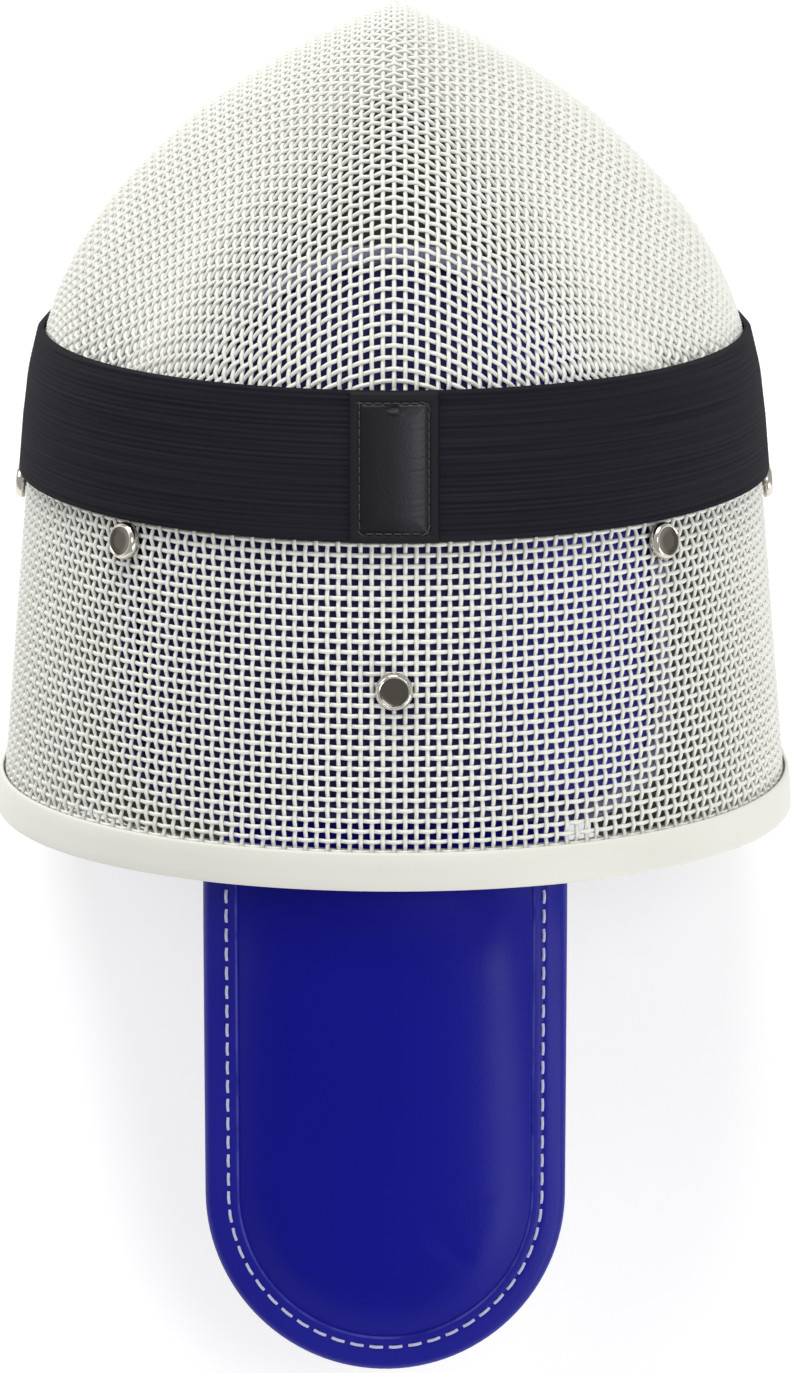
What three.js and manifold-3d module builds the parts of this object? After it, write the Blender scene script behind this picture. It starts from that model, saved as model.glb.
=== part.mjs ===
// A fencing mask: a wire mesh hood in two panels, with its rim trim, lining, strap, tongue and studs.
// Millimetres, +Z up. The mask stands on its lower rim, facing +Y, with the tongue behind it.
import * as THREE from "three";
import { mergeVertices } from "three/addons/utils/BufferGeometryUtils.js";
import Module from "manifold-3d";

const wasm = await Module();
wasm.setup();

// Hood: its own frame has the crown's top at the origin, +Y towards the keel, +X to the right
const CROWN_HALF = 99.3; // half the width across the crown's top, at the level of the sides
const CROWN_RISE = 112; // from the level where the sides turn vertical up to the crown's top
const KEEL_REACH = 113; // from the crown's top forward to the keel
const KEEL_SHARPNESS = 0.45; // how far the front's arched sections narrow towards a ridge
const KEEL_SHARP_BY = 0.6; // share of the reach at which that ridge is fully formed
const FACE_DROP = 150; // from the side level down to the chin
const CHIN_BACK = 41; // how far the chin lies behind the keel
const REAR_REACH = 127; // from the crown's top back to the rim
const REAR_FLARE = 9.5; // what each side gains between the crown's top and the rim
const REAR_SAG = 14.7; // how far the crown line falls on its way to the rim
const RIM_LEAN = 13; // degrees by which the rear rim and the seam lean forward, going down
const JAW_DEPTH = 215; // from the crown's top down to the jaw corner
const JAW_ROUND = 26; // radius of the rim's jaw corner
const TIGHTEST_ROUND = 2; // least radius of a line drawn inside that corner
const MESH_WALL = 2.6; // two crossing coated wires
const FIT = 0.3; // clearance between pieces that touch

// Trim, strap and patch
const TRIM_WALL = 1.0;
const TRIM_WEB = 1.5;
const TRIM_BAND = 10.2; // visible width of the trim
const STRAP_WIDTH = 38.6;
const STRAP_THICK = 1.8;
const STRAP_BACK = 19.3; // the strap's middle line, behind the crown's top
const STRAP_END_DEPTH = 150; // the strap's ends, below the crown's top
const PATCH_WIDTH = 22.2;
const PATCH_THICK = 1.2;

// Lining
const PAD_THICK = 8;
const PAD_HALF = 66;
const PAD_FRONT = 32; // the pad's arched front edge, ahead of the crown's top
const PAD_ARCH_BACK = 45; // where the pad's front arch springs from its straight sides
const PAD_FROM_RIM = 23; // from the pad's rear edge to the rim
const PAD_REAR = REAR_REACH - PAD_FROM_RIM;
const PAD_CORNER = 20;
const BINDING_WIDTH = 5.5;
const LINING_THICK = 10;
const LINING_BAND = 62; // height of the side lining along the lower rim
const LINING_TOP_DEPTH = 44; // the top of the lining's side flaps, below the crown's top
const LINING_FRONT = 34; // the front of the side flaps, ahead of the crown's top
const FLAP_SLANT = 30; // how far a flap's front edge leans, above and below that point
const FLAP_SHOULDER = 40; // how far down a flap its front edge turns
const CHIN_PAD_LENGTH = 48; // how far the chin pad reaches back along the floor
const CHIN_PAD_RISE = 62; // how far it rises up the inside of the face

// Tongue
const TONGUE_HALF = 47.5;
const TONGUE_THICK = 10;
const TONGUE_EDGE = 3.2;
const TONGUE_ROOT = 64; // its inner end, behind the crown's top
const TONGUE_TIP = 256; // its free end, behind the crown's top
const TONGUE_FALL = 17; // degrees by which its free part falls below the crown line
const TONGUE_CURL = 84; // radius of its lateral curve inside the rim
const TONGUE_FLATTEN = 110; // what that radius gains between the rim and the free end
const TONGUE_CLEAR = 1.5; // between the pad's underside and the tongue's root
const TONGUE_ASIDE = 2.4; // how far it sits to the left of the middle
const TONGUE_CROWN = 10; // over what width it thickens from its edge
const TONGUE_BEND = 25; // half the length over which it turns down past the rim

// Studs and rivets
const STUD_RADIUS = 4.9;
const STUD_RISE = 2.4;
const POST_RADIUS = 1.6;
const BACK_RADIUS = 5.5;
const BACK_THICK = 1.2;
const STUD_CENTRE_BACK = 76; // the centre stud, behind the crown's top
const STUD_SIDE_ANGLE = 42.5; // degrees round the crown from its ridge to the two upper studs
const STUD_FROM_STRAP = 5.4; // from the strap's rear edge to a stud's middle
const RIVET_ABOVE_END = 9;
const HOLE_REACH = 50; // beyond everything that a post goes through

// A stud's cap from its edge to its middle: shares of its radius and of its rise
const CAP = [
  { radius: 1, rise: 0 },
  { radius: 1, rise: 0.5 },
  { radius: 0.78, rise: 1 },
  { radius: 0.62, rise: 1 },
  { radius: 0.56, rise: 0.8 },
  { radius: 0, rise: 0.8 },
];
const POST_TOP = 0.3; // how far up the cap its post reaches, a share of the rise

// How finely the curved forms are divided
const DOME_ROWS = 9;
const WALL_ROWS = 8;
const FRONT_COLUMNS = 10;
const REAR_STATIONS = [0.25, 0.6, 1, 1.3];
const ROUND_SIDES = 12;
const ARC_SEGMENTS = 9;
const CORNER_STEPS = 6;
const TONGUE_STATIONS = 18;
const TONGUE_HALF_STEPS = 5;
const TONGUE_CROWDING = 1.35; // how far its stations crowd towards the tip
const WALL_LENGTH = 1.3; // how far the walls are made past the chin, before the rim is cut
const WIDE = 300; // beyond the whole hood

const MESH_WHITE = { color: 0xe9e9e2, roughness: 0.38, metalness: 0.05 };
const TRIM_WHITE = { color: 0xf2f2ee, roughness: 0.42, metalness: 0 };
const ELASTIC_BLACK = { color: 0x141419, roughness: 0.9, metalness: 0 };
const VINYL_BLACK = { color: 0x101013, roughness: 0.4, metalness: 0 };
const PAD_BLUE = { color: 0x20305f, roughness: 0.85, metalness: 0 };
const BINDING_PALE = { color: 0x8f95a8, roughness: 0.8, metalness: 0 };
const LINING_DARK = { color: 0x15161c, roughness: 0.9, metalness: 0 };
const TONGUE_BLUE = { color: 0x161a86, roughness: 0.42, metalness: 0 };
const NICKEL = { color: 0xc9c9c4, roughness: 0.25, metalness: 1 };

// The hood's plan ahead of the crown: its half width at each share of the reach
const OUTLINE = [
  { forward: 0.0, half: 1.0 },
  { forward: 0.14, half: 0.978 },
  { forward: 0.32, half: 0.918 },
  { forward: 0.517, half: 0.786 },
  { forward: 0.711, half: 0.575 },
  { forward: 0.809, half: 0.425 },
  { forward: 0.906, half: 0.239 },
  { forward: 1.0, half: 0.0 },
];

// The face below the side level: what is left of the half width, and of the chin's set-back
const FACE = [
  { down: 0.0, half: 1.0, back: 0.0 },
  { down: 0.25, half: 0.995, back: 0.0 },
  { down: 0.45, half: 0.975, back: 0.07 },
  { down: 0.65, half: 0.94, back: 0.28 },
  { down: 0.85, half: 0.895, back: 0.63 },
  { down: 1.0, half: 0.86, back: 1.0 },
  { down: 1.3, half: 0.79, back: 1.85 },
];

// A value between the rows of a table, on a smooth curve through them
function between(table, along, column, at) {
  const last = table.length - 1;
  const slope = (i) => {
    const a = table[Math.max(i - 1, 0)];
    const b = table[Math.min(i + 1, last)];
    return (b[column] - a[column]) / (b[along] - a[along]);
  };
  let i = 0;
  while (i < last - 1 && at > table[i + 1][along]) i += 1;
  const step = table[i + 1][along] - table[i][along];
  const t = THREE.MathUtils.clamp((at - table[i][along]) / step, 0, 1);
  const h00 = 2 * t ** 3 - 3 * t ** 2 + 1;
  const h10 = t ** 3 - 2 * t ** 2 + t;
  const h01 = 3 * t ** 2 - 2 * t ** 3;
  const h11 = t ** 3 - t ** 2;
  const ends = h00 * table[i][column] + h01 * table[i + 1][column];
  return ends + step * (h10 * slope(i) + h11 * slope(i + 1));
}

const rad = THREE.MathUtils.degToRad;
const lean = Math.tan(rad(RIM_LEAN));

// The hood's surface moved out by grow: half width, reach and arch height at a place along it
function hoodShape(grow) {
  const reach = KEEL_REACH + grow;
  const halfAt = (y) => {
    if (y >= 0) return (CROWN_HALF + grow) * between(OUTLINE, "forward", "half", Math.min(y / reach, 1));
    return CROWN_HALF + grow + (REAR_FLARE * -y) / REAR_REACH;
  };
  const riseAt = (y) => {
    if (y >= 0) return (CROWN_RISE + grow) * Math.sqrt(Math.max(1 - (y / reach) ** 2, 0));
    return CROWN_RISE + grow - REAR_SAG * (y / REAR_REACH) ** 2;
  };
  const sharpnessAt = (y) => KEEL_SHARPNESS * THREE.MathUtils.smoothstep(y / reach, 0, KEEL_SHARP_BY);
  const archAt = (y, cosine) => {
    const sine = Math.sqrt(Math.max(1 - cosine ** 2, 0));
    return halfAt(y) * sine * (1 - sharpnessAt(y) * cosine ** 2);
  };
  return { reach, halfAt, riseAt, archAt };
}

// One point of the hood's right side: row counts down from the ridge, column runs from the rear to the keel
function hoodPoint(shape, row, column) {
  const rear = REAR_STATIONS.length;
  const station = column < rear ? -REAR_REACH * REAR_STATIONS[rear - 1 - column] : 0;
  const turn = Math.sin(((Math.max(column - rear, 0) / FRONT_COLUMNS) * Math.PI) / 2);
  if (row <= DOME_ROWS) {
    const cosine = Math.cos(((row / DOME_ROWS) * Math.PI) / 2);
    const height = shape.riseAt(0) * cosine;
    const y = station < 0 ? station : shape.reach * Math.sqrt(Math.max(1 - cosine ** 2, 0)) * turn;
    const rise = shape.riseAt(y);
    const share = station < 0 ? cosine : Math.min(height / Math.max(rise, 1e-9), 1);
    const z = (station < 0 ? rise * cosine : height) - CROWN_RISE;
    const x = turn > 1 - 1e-9 ? 0 : shape.archAt(y, share);
    return [x, y, z];
  }
  const down = (WALL_LENGTH * (row - DOME_ROWS)) / WALL_ROWS;
  const reach = shape.reach - CHIN_BACK * between(FACE, "down", "back", down);
  const y = station < 0 ? station : reach * turn;
  const full = station < 0 ? shape.halfAt(y) : shape.halfAt(shape.reach * turn);
  const x = turn > 1 - 1e-9 ? 0 : full * between(FACE, "down", "half", down);
  return [x, y, -CROWN_RISE - down * FACE_DROP];
}

// A solid from points and the triangles between them
function solidFrom(points, faces) {
  const flat = new Float32Array(faces.flatMap((face) => face.flatMap((i) => points[i])));
  return solidOf(new THREE.BufferGeometry().setAttribute("position", new THREE.BufferAttribute(flat, 3)));
}

// A closed three.js geometry as a solid, with shared vertices merged and collapsed faces left out
function solidOf(geometry) {
  const bare = geometry.clone();
  bare.deleteAttribute("normal");
  bare.deleteAttribute("uv");
  const merged = mergeVertices(bare, 1e-4);
  const index = Array.from(merged.index.array);
  const kept = [];
  for (let i = 0; i < index.length; i += 3) {
    const [a, b, c] = index.slice(i, i + 3);
    if (a !== b && b !== c && c !== a) kept.push(a, b, c);
  }
  return new wasm.Manifold(
    new wasm.Mesh({
      numProp: 3,
      vertProperties: merged.getAttribute("position").array,
      triVerts: new Uint32Array(kept),
    }),
  );
}

function geometryOf(solid) {
  const mesh = solid.getMesh();
  const geometry = new THREE.BufferGeometry();
  geometry.setAttribute("position", new THREE.BufferAttribute(mesh.vertProperties, 3));
  geometry.setIndex(new THREE.BufferAttribute(mesh.triVerts, 1));
  geometry.computeVertexNormals();
  return geometry;
}

// The whole hood as one solid, filled, with its rear and bottom closed well past the rim
function hoodSolid(grow) {
  const shape = hoodShape(grow);
  const columns = REAR_STATIONS.length + FRONT_COLUMNS;
  const across = 2 * columns + 1;
  const rows = DOME_ROWS + WALL_ROWS;
  const points = [];
  for (let row = 0; row <= rows; row += 1) {
    for (let i = 0; i < across; i += 1) {
      const column = i <= columns ? i : 2 * columns - i;
      const [x, y, z] = hoodPoint(shape, row, column);
      points.push([i <= columns ? x : -x, y, z]);
    }
  }
  const faces = [];
  const quad = (a, b, c, d) => faces.push([a, b, c], [a, c, d]);
  for (let row = 0; row < rows; row += 1) {
    const top = row * across;
    const low = top + across;
    for (let i = 0; i < across - 1; i += 1) quad(top + i, low + i, low + i + 1, top + i + 1);
    quad(top + across - 1, low + across - 1, low, top);
  }
  const last = rows * across;
  for (let i = 0; i < columns; i += 1) {
    quad(last + i, last + across - 1 - i, last + across - 2 - i, last + i + 1);
  }
  return solidFrom(points, faces);
}

// The hood between two offsets of its surface
function hoodShell(outer, inner) {
  return hoodSolid(outer).subtract(hoodSolid(inner));
}

// A side-view outline of [y, z] points, cut right across the hood
function acrossHood(outline) {
  const shape = new THREE.Shape(outline.map(([y, z]) => new THREE.Vector2(y, z)));
  const block = new THREE.ExtrudeGeometry(shape, { depth: 2 * WIDE, bevelEnabled: false });
  block.translate(0, 0, -WIDE);
  block.applyMatrix4(
    new THREE.Matrix4().makeBasis(
      new THREE.Vector3(0, 1, 0),
      new THREE.Vector3(0, 0, 1),
      new THREE.Vector3(1, 0, 0),
    ),
  );
  return solidOf(block);
}

// A plan outline, cut from top to bottom
function downHood(shape) {
  const reach = { depth: 2 * WIDE, bevelEnabled: false, curveSegments: ARC_SEGMENTS };
  const block = new THREE.ExtrudeGeometry(shape, reach);
  block.translate(0, 0, -WIDE);
  return solidOf(block);
}

// The rim in side view: a leaning rear line, a rounded jaw corner and a straight line to the chin
const jaw = [-REAR_REACH + lean * (JAW_DEPTH - REAR_SAG), -JAW_DEPTH];
const chin = [KEEL_REACH - CHIN_BACK, -CROWN_RISE - FACE_DROP];
const floorAngle = Math.atan2(chin[1] - jaw[1], chin[0] - jaw[0]);
const rearUp = [-Math.sin(rad(RIM_LEAN)), Math.cos(rad(RIM_LEAN))];
const floorAhead = [Math.cos(floorAngle), Math.sin(floorAngle)];
const rearInward = [rearUp[1], -rearUp[0]];
const floorInward = [-floorAhead[1], floorAhead[0]];

// Everything inside the rim, drawn in from its edge by inset
function insideRim(inset) {
  const opening = Math.acos(rearUp[0] * floorAhead[0] + rearUp[1] * floorAhead[1]);
  const away = inset / Math.sin(opening);
  const corner = [
    jaw[0] + away * (rearUp[0] + floorAhead[0]),
    jaw[1] + away * (rearUp[1] + floorAhead[1]),
  ];
  const radius = Math.max(JAW_ROUND - inset, TIGHTEST_ROUND);
  const setOff = radius / Math.tan(opening / 2);
  const start = [corner[0] + setOff * rearUp[0], corner[1] + setOff * rearUp[1]];
  const middle = [start[0] + radius * rearInward[0], start[1] + radius * rearInward[1]];
  const from = Math.atan2(-rearInward[1], -rearInward[0]);
  const turn = Math.PI - opening;
  const outline = [];
  for (let i = 0; i <= CORNER_STEPS; i += 1) {
    const angle = from + (turn * i) / CORNER_STEPS + (from < 0 ? 2 * Math.PI : 0);
    outline.push([middle[0] + radius * Math.cos(angle), middle[1] + radius * Math.sin(angle)]);
  }
  const top = [corner[0] + WIDE * rearUp[0], corner[1] + WIDE * rearUp[1]];
  outline.push([corner[0] + WIDE * floorAhead[0], corner[1] + WIDE * floorAhead[1]]);
  outline.push([WIDE, top[1]], top);
  return acrossHood(outline);
}

// The slab between two lines that lean as the rear rim does, at given distances behind the crown's top
function leaningSlab(ahead, behind, topDepth, lowDepth) {
  const at = (back, depth) => [-back + lean * depth, -depth];
  return acrossHood([at(behind, topDepth), at(behind, lowDepth), at(ahead, lowDepth), at(ahead, topDepth)]);
}

// A point of the rear crown's surface and its outward direction, at an angle round from the ridge
function crownPlace(y, angle) {
  const shape = hoodShape(0);
  const at = (along, turn) => {
    const rise = shape.riseAt(along);
    return new THREE.Vector3(
      Math.sign(turn) * shape.archAt(along, Math.cos(turn)),
      along,
      rise * Math.cos(turn) - CROWN_RISE,
    );
  };
  const small = 1e-3;
  const here = at(y, angle);
  const alongY = at(y + small, angle).sub(at(y - small, angle));
  const alongAngle = at(y, angle + small).sub(at(y, angle - small));
  return { point: here, outward: new THREE.Vector3().crossVectors(alongY, alongAngle).negate().normalize() };
}

// A point on the flat of a side wall at a depth below the crown's top
function wallPlace(y, depth, side) {
  const shape = hoodShape(0);
  const at = (along, low) => {
    const down = (low - CROWN_RISE) / FACE_DROP;
    return new THREE.Vector3(side * shape.halfAt(along) * between(FACE, "down", "half", down), along, -low);
  };
  const small = 1e-3;
  const alongY = at(y + small, depth).sub(at(y - small, depth));
  const alongDepth = at(y, depth + small).sub(at(y, depth - small));
  const outward = new THREE.Vector3().crossVectors(alongY, alongDepth).multiplyScalar(-side);
  return { point: at(y, depth), outward: outward.normalize() };
}

// A lathe turned about a fastener's own axis, +Z out of the hood, zero at the mesh's outer face
function fastener(base, through) {
  const profile = CAP.map(({ radius, rise }) => [radius * STUD_RADIUS, base + rise * STUD_RISE]);
  const cap = turned([[0, base], ...profile]);
  const postFoot = -through - BACK_THICK / 2;
  const postHead = base + POST_TOP * STUD_RISE;
  const post = turned([
    [0, postFoot],
    [POST_RADIUS, postFoot],
    [POST_RADIUS, postHead],
    [0, postHead],
  ]);
  const back = turned([
    [0, -through - BACK_THICK],
    [BACK_RADIUS, -through - BACK_THICK],
    [BACK_RADIUS, -through],
    [0, -through],
  ]);
  return cap.add(post).add(back);
}

function turned(profile) {
  const points = profile.map(([radius, height]) => new THREE.Vector2(radius, height));
  const lathe = new THREE.LatheGeometry(points, ROUND_SIDES);
  return solidOf(lathe.rotateX(Math.PI / 2));
}

// The straight hole that a post runs through
function postHole(place) {
  const hole = turned([
    [0, -HOLE_REACH],
    [POST_RADIUS + FIT, -HOLE_REACH],
    [POST_RADIUS + FIT, HOLE_REACH],
    [0, HOLE_REACH],
  ]);
  const turn = new THREE.Quaternion().setFromUnitVectors(new THREE.Vector3(0, 0, 1), place.outward);
  const matrix = new THREE.Matrix4().compose(place.point, turn, new THREE.Vector3(1, 1, 1));
  return hole.transform(matrix.elements);
}

// Where each stud and rivet goes, what it is seated on, and how far in its back disc lies
const strapRear = STRAP_BACK + STRAP_WIDTH / 2;
const behindStrap = (depth) => -(strapRear + STUD_FROM_STRAP) + lean * depth;
const upperAngle = rad(STUD_SIDE_ANGLE);
const upperDepth = CROWN_RISE * (1 - Math.cos(upperAngle));
const rivetDepth = STRAP_END_DEPTH - RIVET_ABOVE_END;
const rivetY = -STRAP_BACK + lean * rivetDepth;
const facetSag = CROWN_RISE * (1 - Math.cos(Math.PI / (4 * DOME_ROWS)));
const discSag = BACK_RADIUS ** 2 / (2 * CROWN_HALF);
const underPad = MESH_WALL + FIT + PAD_THICK;
const behindPad = underPad + FIT + facetSag + discSag;
const tongueRoot = underPad + TONGUE_CLEAR;
const overStrap = STRAP_THICK + 2 * FIT;
const behindLining = MESH_WALL + 3 * FIT + LINING_THICK + facetSag + discSag;
const upperY = behindStrap(upperDepth);
const sideY = behindStrap(CROWN_RISE);
const behindTongue = tongueRoot + TONGUE_EDGE + 2 * FIT;
const FASTENERS = [
  { name: "stud_centre", place: crownPlace(-STUD_CENTRE_BACK, 0), base: FIT, through: behindTongue },
  { name: "stud_right", place: crownPlace(upperY, upperAngle), base: FIT, through: behindPad },
  { name: "stud_left", place: crownPlace(upperY, -upperAngle), base: FIT, through: behindPad },
  { name: "stud_side_right", place: wallPlace(sideY, CROWN_RISE, 1), base: FIT, through: behindLining },
  { name: "stud_side_left", place: wallPlace(sideY, CROWN_RISE, -1), base: FIT, through: behindLining },
  { name: "rivet_right", place: wallPlace(rivetY, rivetDepth, 1), base: overStrap, through: behindLining },
  { name: "rivet_left", place: wallPlace(rivetY, rivetDepth, -1), base: overStrap, through: behindLining },
];

function drilled(solid) {
  return FASTENERS.reduce((cut, { place }) => cut.subtract(postHole(place)), solid);
}

// The two mesh panels meet on a leaning seam that the strap covers
const meshInset = TRIM_WEB + FIT;
const panels = hoodShell(0, -MESH_WALL).intersect(insideRim(meshInset));
const aheadOfSeam = leaningSlab(-2 * WIDE, STRAP_BACK - FIT / 2, -WIDE, 2 * WIDE);
const behindSeam = leaningSlab(STRAP_BACK + FIT / 2, 2 * WIDE, -WIDE, 2 * WIDE);
const frontMesh = drilled(panels.intersect(aheadOfSeam));
const rearMesh = drilled(panels.intersect(behindSeam));

// The trim is a channel: outer face, inner face and a web past the mesh's edge
function rimTrim() {
  const body = hoodShell(FIT + TRIM_WALL, -MESH_WALL - FIT - TRIM_WALL);
  const band = insideRim(0).subtract(insideRim(TRIM_BAND));
  const slot = hoodShell(FIT, -MESH_WALL - FIT).intersect(insideRim(TRIM_WEB));
  return body.intersect(band).subtract(slot);
}

function crownStrap() {
  const slab = leaningSlab(STRAP_BACK - STRAP_WIDTH / 2, strapRear, -WIDE, STRAP_END_DEPTH);
  return drilled(hoodShell(FIT + STRAP_THICK, FIT).intersect(slab));
}

function strapPatch() {
  const slab = leaningSlab(STRAP_BACK - STRAP_WIDTH / 2, strapRear, -WIDE, WIDE);
  const half = PATCH_WIDTH / 2;
  const plan = new THREE.Shape([
    new THREE.Vector2(-half, -WIDE),
    new THREE.Vector2(half, -WIDE),
    new THREE.Vector2(half, WIDE),
    new THREE.Vector2(-half, WIDE),
  ]);
  const shell = hoodShell(overStrap + PATCH_THICK, overStrap);
  return shell.intersect(slab).intersect(downHood(plan)).intersect(acrossTop());
}

// The half of space above the side level, which keeps a plan cut off the walls below
function acrossTop() {
  return acrossHood([[-WIDE, -CROWN_RISE], [WIDE, -CROWN_RISE], [WIDE, WIDE], [-WIDE, WIDE]]);
}

// The crown pad's plan, grown by a margin: an arched front, straight sides and a rounded rear
function padPlan(margin) {
  const half = PAD_HALF + margin;
  const rear = -PAD_REAR - margin;
  const corner = PAD_CORNER + margin;
  const shape = new THREE.Shape();
  shape.moveTo(-half + corner, rear);
  shape.lineTo(half - corner, rear);
  shape.absarc(half - corner, rear + corner, corner, -Math.PI / 2, 0, false);
  shape.lineTo(half, -PAD_ARCH_BACK);
  shape.absellipse(0, -PAD_ARCH_BACK, half, PAD_FRONT + PAD_ARCH_BACK + margin, 0, Math.PI, false, 0);
  shape.lineTo(-half, rear + corner);
  shape.absarc(-half + corner, rear + corner, corner, Math.PI, 1.5 * Math.PI, false);
  return downHood(shape).intersect(acrossTop());
}

const underMesh = -MESH_WALL - FIT;
const crownPad = drilled(hoodShell(underMesh, underMesh - PAD_THICK).intersect(padPlan(0)));
const padBinding = drilled(hoodShell(underMesh, underMesh - PAD_THICK))
  .intersect(padPlan(FIT + BINDING_WIDTH))
  .subtract(padPlan(FIT));

// The dark lining: a band along the lower rim, a flap up each side and a wedge under the chin
function sideLining() {
  const outer = underMesh - FIT;
  const along = (ahead, up) => [
    jaw[0] + ahead * floorAhead[0] + up * floorInward[0],
    jaw[1] + ahead * floorAhead[1] + up * floorInward[1],
  ];
  const band = acrossHood([
    along(-WIDE, -WIDE),
    along(WIDE, -WIDE),
    along(WIDE, LINING_BAND),
    along(-WIDE, LINING_BAND),
  ]);
  const flaps = acrossHood([
    [-WIDE, -WIDE],
    [LINING_FRONT + FLAP_SLANT, -WIDE],
    [LINING_FRONT, -LINING_TOP_DEPTH - FLAP_SHOULDER],
    [LINING_FRONT - FLAP_SLANT, -LINING_TOP_DEPTH],
    [-WIDE, -LINING_TOP_DEPTH],
  ]);
  const walls = hoodShell(outer, outer - LINING_THICK).intersect(band.add(flaps));
  const length = Math.hypot(chin[0] - jaw[0], chin[1] - jaw[1]);
  const wedge = acrossHood([
    along(length - CHIN_PAD_LENGTH, -WIDE),
    along(length + WIDE, -WIDE),
    along(length + WIDE, CHIN_PAD_RISE),
    along(length + CHIN_PAD_LENGTH / 2, CHIN_PAD_RISE),
    along(length - CHIN_PAD_LENGTH, LINING_THICK),
  ]);
  const chinPad = hoodSolid(outer).intersect(wedge);
  const trimRoom = insideRim(0).subtract(insideRim(TRIM_BAND + FIT));
  const besideTrim = hoodShell(FIT, -MESH_WALL - TRIM_WALL - 3 * FIT).intersect(trimRoom);
  const inside = insideRim(TRIM_WEB + TRIM_WALL + 4 * FIT).subtract(besideTrim);
  const clearOfPad = padPlan(2 * FIT + BINDING_WIDTH);
  return drilled(walls.subtract(clearOfPad).add(chinPad).intersect(inside));
}

// The tongue's middle line in side view: under the pad, then straight down and back to its free end
function tonguePath(share) {
  const y = -TONGUE_ROOT - share * (TONGUE_TIP - TONGUE_ROOT);
  const crestDepth = (at) => REAR_SAG * (at / REAR_REACH) ** 2;
  const atRim = tongueRoot + crestDepth(REAR_REACH) + TONGUE_EDGE / 2;
  const rootDepth = tongueRoot + crestDepth(STUD_CENTRE_BACK) + TONGUE_EDGE / 2;
  const rootSlope = (atRim - rootDepth) / (REAR_REACH - STUD_CENTRE_BACK);
  const inside = rootDepth + rootSlope * (-y - STUD_CENTRE_BACK);
  const outside = atRim + Math.tan(rad(TONGUE_FALL)) * (-y - REAR_REACH);
  const blend = THREE.MathUtils.smoothstep(-y, REAR_REACH - TONGUE_BEND, REAR_REACH + TONGUE_BEND);
  return { y, z: -THREE.MathUtils.lerp(inside, outside, blend) };
}

// The tongue at one station: a ring of points over its top from right to left and back underneath
function tongueRing(share) {
  const { y, z } = tonguePath(share);
  const toTip = (1 - share) * (TONGUE_TIP - TONGUE_ROOT);
  const inRound = Math.max(1 - toTip / TONGUE_HALF, 0);
  const half = TONGUE_HALF * Math.sqrt(Math.max(1 - inRound ** 2, 0));
  const pastRim = Math.max(-y - REAR_REACH, 0) / (TONGUE_TIP - REAR_REACH);
  const curl = TONGUE_CURL + TONGUE_FLATTEN * pastRim;
  const rooted = THREE.MathUtils.smoothstep(-y, PAD_REAR + BINDING_WIDTH, REAR_REACH + PAD_CORNER);
  const across = 2 * TONGUE_HALF_STEPS;
  const ring = [];
  for (let j = 0; j < 2 * across; j += 1) {
    const turned = j < across ? 1 - (2 * j) / across : (2 * j) / across - 3;
    const x = turned * half;
    const inward = Math.min(half - Math.abs(x), toTip) / TONGUE_CROWN;
    const crown = Math.sqrt(THREE.MathUtils.clamp(inward, 0, 1));
    const thick = TONGUE_EDGE + (TONGUE_THICK - TONGUE_EDGE) * crown * rooted;
    const sunk = ((thick - TONGUE_EDGE) / 2) * (1 - rooted);
    const onEdge = j % across === 0;
    const face = j < across ? thick / 2 : -thick / 2;
    const aside = x - TONGUE_ASIDE;
    ring.push([aside, y, z - sunk + (onEdge ? 0 : face) - curl + Math.sqrt(curl ** 2 - aside ** 2)]);
  }
  return ring;
}

function tongue() {
  const ring = 4 * TONGUE_HALF_STEPS;
  const points = [];
  for (let i = 0; i <= TONGUE_STATIONS; i += 1) {
    points.push(...tongueRing(1 - (1 - i / TONGUE_STATIONS) ** TONGUE_CROWDING));
  }
  const faces = [];
  for (let i = 0; i < TONGUE_STATIONS; i += 1) {
    for (let j = 0; j < ring; j += 1) {
      const next = (j + 1) % ring;
      const a = i * ring;
      const b = a + ring;
      faces.push([a + j, b + next, b + j], [a + j, a + next, b + next]);
    }
  }
  for (let j = 1; j < ring - 1; j += 1) faces.push([0, j + 1, j]);
  return drilled(solidFrom(points, faces));
}

// Assembly
const mask = new THREE.Group();
const hood = new THREE.Group();
hood.rotation.x = -floorAngle;
mask.add(hood);

function piece(name, solid, look) {
  const mesh = new THREE.Mesh(geometryOf(solid), new THREE.MeshStandardMaterial(look));
  mesh.name = name;
  hood.add(mesh);
  return mesh;
}

piece("front_mesh", frontMesh, MESH_WHITE);
piece("rear_mesh", rearMesh, MESH_WHITE);
piece("rim_trim", rimTrim(), TRIM_WHITE);
piece("crown_strap", crownStrap(), ELASTIC_BLACK);
piece("strap_patch", strapPatch(), VINYL_BLACK);
piece("crown_pad", crownPad, PAD_BLUE);
piece("pad_binding", padBinding, BINDING_PALE);
piece("side_lining", sideLining(), LINING_DARK);
piece("tongue", tongue(), TONGUE_BLUE);
for (const { name, place, base, through } of FASTENERS) {
  const mesh = piece(name, fastener(base, through), NICKEL);
  mesh.position.copy(place.point);
  mesh.quaternion.setFromUnitVectors(new THREE.Vector3(0, 0, 1), place.outward);
}

// The origin is the middle of the mask's footprint, on the floor that its lower rim stands on
mask.updateMatrixWorld(true);
const reachOf = new THREE.Box3().setFromObject(mask, true);
const middle = reachOf.getCenter(new THREE.Vector3());
hood.position.set(-middle.x, -middle.y, -reachOf.min.z);

export default mask;
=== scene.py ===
"""A fencing mask standing on its lower rim: woven wire hood, rim trim, strap, lining, studs and tongue."""

import math

import bmesh
import bpy
import numpy as np
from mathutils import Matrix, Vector
from mathutils.bvhtree import BVHTree


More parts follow.
